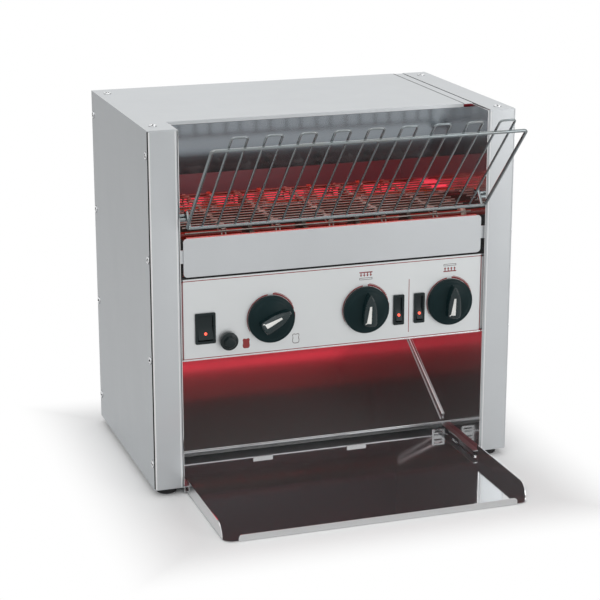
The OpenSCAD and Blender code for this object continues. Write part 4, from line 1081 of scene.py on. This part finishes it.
class TOASTER_OT_wire_belt(Step):
    """Belt of cross wires joined by hooked links"""

    pitch, teeth, half_width = 12.7, 10, 182.0

    def loop(self, front, rear, steps):
        """Places (y, z) of the wires, a pitch apart: along the top, round the rear, back and round the
        front, with both turns at the radius pitch * teeth / (2 pi)."""
        r = self.pitch * self.teeth / (2 * pi)
        i = np.arange(2 * steps + self.teeth)
        arc = self.teeth / 2
        rear_turn = pi / 2 - (i - steps) * 2 * pi / self.teeth
        front_turn = 1.5 * pi - (i - 2 * steps - arc) * 2 * pi / self.teeth
        stretch = [i <= steps, i <= steps + arc, i <= 2 * steps + arc]
        top_y, back_y = front[0] + i * self.pitch, rear[0] - (i - steps - arc) * self.pitch
        top_z, back_z = front[1] + r + 0 * i, rear[1] - r + 0 * i
        y = np.select(stretch, [top_y, rear[0] + r * np.cos(rear_turn), back_y], front[0] + r * np.cos(front_turn))
        z = np.select(stretch, [top_z, rear[1] + r * np.sin(rear_turn), back_z], front[1] + r * np.sin(front_turn))
        return np.stack([y, z], -1)

    def link(self, w, d):
        """One hooked link as (across, along, out): a wire from the middle of its own rod over the next
        rod and back at the other side."""
        low, tip = -0.9 * d, self.pitch + d * 0.95
        half = [(0, 0), (self.pitch * 0.5, low * 0.75), (tip, low * 0.8), (tip, 0.45 * d)]
        return bent([(-w, *p) for p in half] + [(w, *p) for p in half[::-1]], 0.85, 2)

    def build(self, scene):
        wire = scene.toaster_wire
        d = wire.belt_d
        front, rear = middle("idler_roller")[1:], middle("shaft_chainwheel")[1:]
        here = self.loop(front, rear, round((rear[0] - front[0]) / self.pitch))
        ahead = unit(np.roll(here, -1, 0) - here)
        parts = []
        for (y, z), (_, tz) in zip(here, ahead):
            ends = [(-self.half_width, y, z), (self.half_width, y, z)]
            parts.append(tube(ends, d / 2, (0, 0, 1) if abs(tz) < 0.9 else (0, 1, 0), 8))
        step = 2 * self.half_width / (wire.links + 0.4)
        places = [((j - (wire.links - 1) / 2) * step, 0, 0) for j in range(wire.links)]
        for k, ((y, z), (ty, tz)) in enumerate(zip(here, ahead)):
            across, along, out = self.link(4.6 if k % 2 else 2.4, d).T
            path = np.stack([across, y + along * ty - out * tz, z + along * tz + out * ty], -1)
            parts += copies(tube(path, d / 2 - 0.2, (0.35, 0.25, 0.2), 6), places)
        piece("belt_wirework", parts, "belt", HOUSING, ["conveyor_belt"], 50)


class TOASTER_OT_drive(Step):
    """Shafts, sprockets, chain, motor, fan and heating tubes"""

    def build(self, scene):
        paint("heater", "upper_heaters")
        paint("lower_heater", "lower_heaters")
        paint("ceramic", "heater_bushes", "terminal_block")
        paint("bronze", "shaft_bushes")
        paint("painted", "gearmotor")
        paint("chain", "drive_chain")
        paint("plastic", "fan_frame", "fan_impeller")
        paint("darker_tint", "belt_support", "idler_roller")
        paint("plated", "idler_tensioners", "drive_shaft", "belt_sprockets", "shaft_chainwheel", "motor_chainwheel")
        paint("plated", "speed_control", "heat_regulators", "reset_thermostat")


class TOASTER_OT_feet(Step):
    """Rubber feet and cable gland"""

    inset = 13
    sole = ((9.5, 0), (11, 0.15), (11.8, 0.8), (12, 2.2), (12.2, 3.2))
    upper = ((11.7, 3.5), (11.7, 4.0), (12.4, 4.3), (12.9, 8.6), (12.9, 9))

    def build(self, scene):
        low, high = span("feet")
        xs, ys = ((low[k] + self.inset, high[k] - self.inset) for k in (0, 1))
        foot = turned(self.sole + self.upper, (0, 0, 0), sides=40)
        feet = copies(foot, [(x, y, 0) for x in xs for y in ys])
        piece("rubber_feet", feet, "rubber", HOUSING, ["feet"])
        softened("cable_gland", "rubber", width=0.4)


class TOASTER_PT_panel(bpy.types.Panel):
    """Lists the steps that dress the machine"""

    bl_idname = "TOASTER_PT_panel"
    bl_label = "Conveyor Toaster"
    bl_space_type = "VIEW_3D"
    bl_region_type = "UI"
    bl_category = "Toaster"

    def draw(self, context):
        for group in GROUPS:
            box = self.layout.box()
            owner = getattr(context.scene, group)
            for name in owner.__annotations__:
                box.prop(owner, name)
        for step in STEPS:
            self.layout.operator(step.bl_idname)


GROUPS = {
    "toaster_looks": ToasterLooks,
    "toaster_wire": ToasterWire,
    "toaster_controls": ToasterControls,
    "toaster_stage": ToasterStage,
}
STEPS = tuple(Step.__subclasses__())


def register():
    for cls in (*GROUPS.values(), *STEPS, TOASTER_PT_panel):
        bpy.utils.register_class(cls)
    for name, cls in GROUPS.items():
        setattr(bpy.types.Scene, name, PointerProperty(type=cls))


def unregister():
    for name in GROUPS:
        delattr(bpy.types.Scene, name)
    for cls in (TOASTER_PT_panel, *reversed(STEPS), *reversed(GROUPS.values())):
        bpy.utils.unregister_class(cls)


def main():
    register()
    make_materials(bpy.context.scene.toaster_looks)
    for step in STEPS:
        group, name = step.bl_idname.split(".")
        getattr(getattr(bpy.ops, group), name)()


if __name__ == "__main__":
    main()
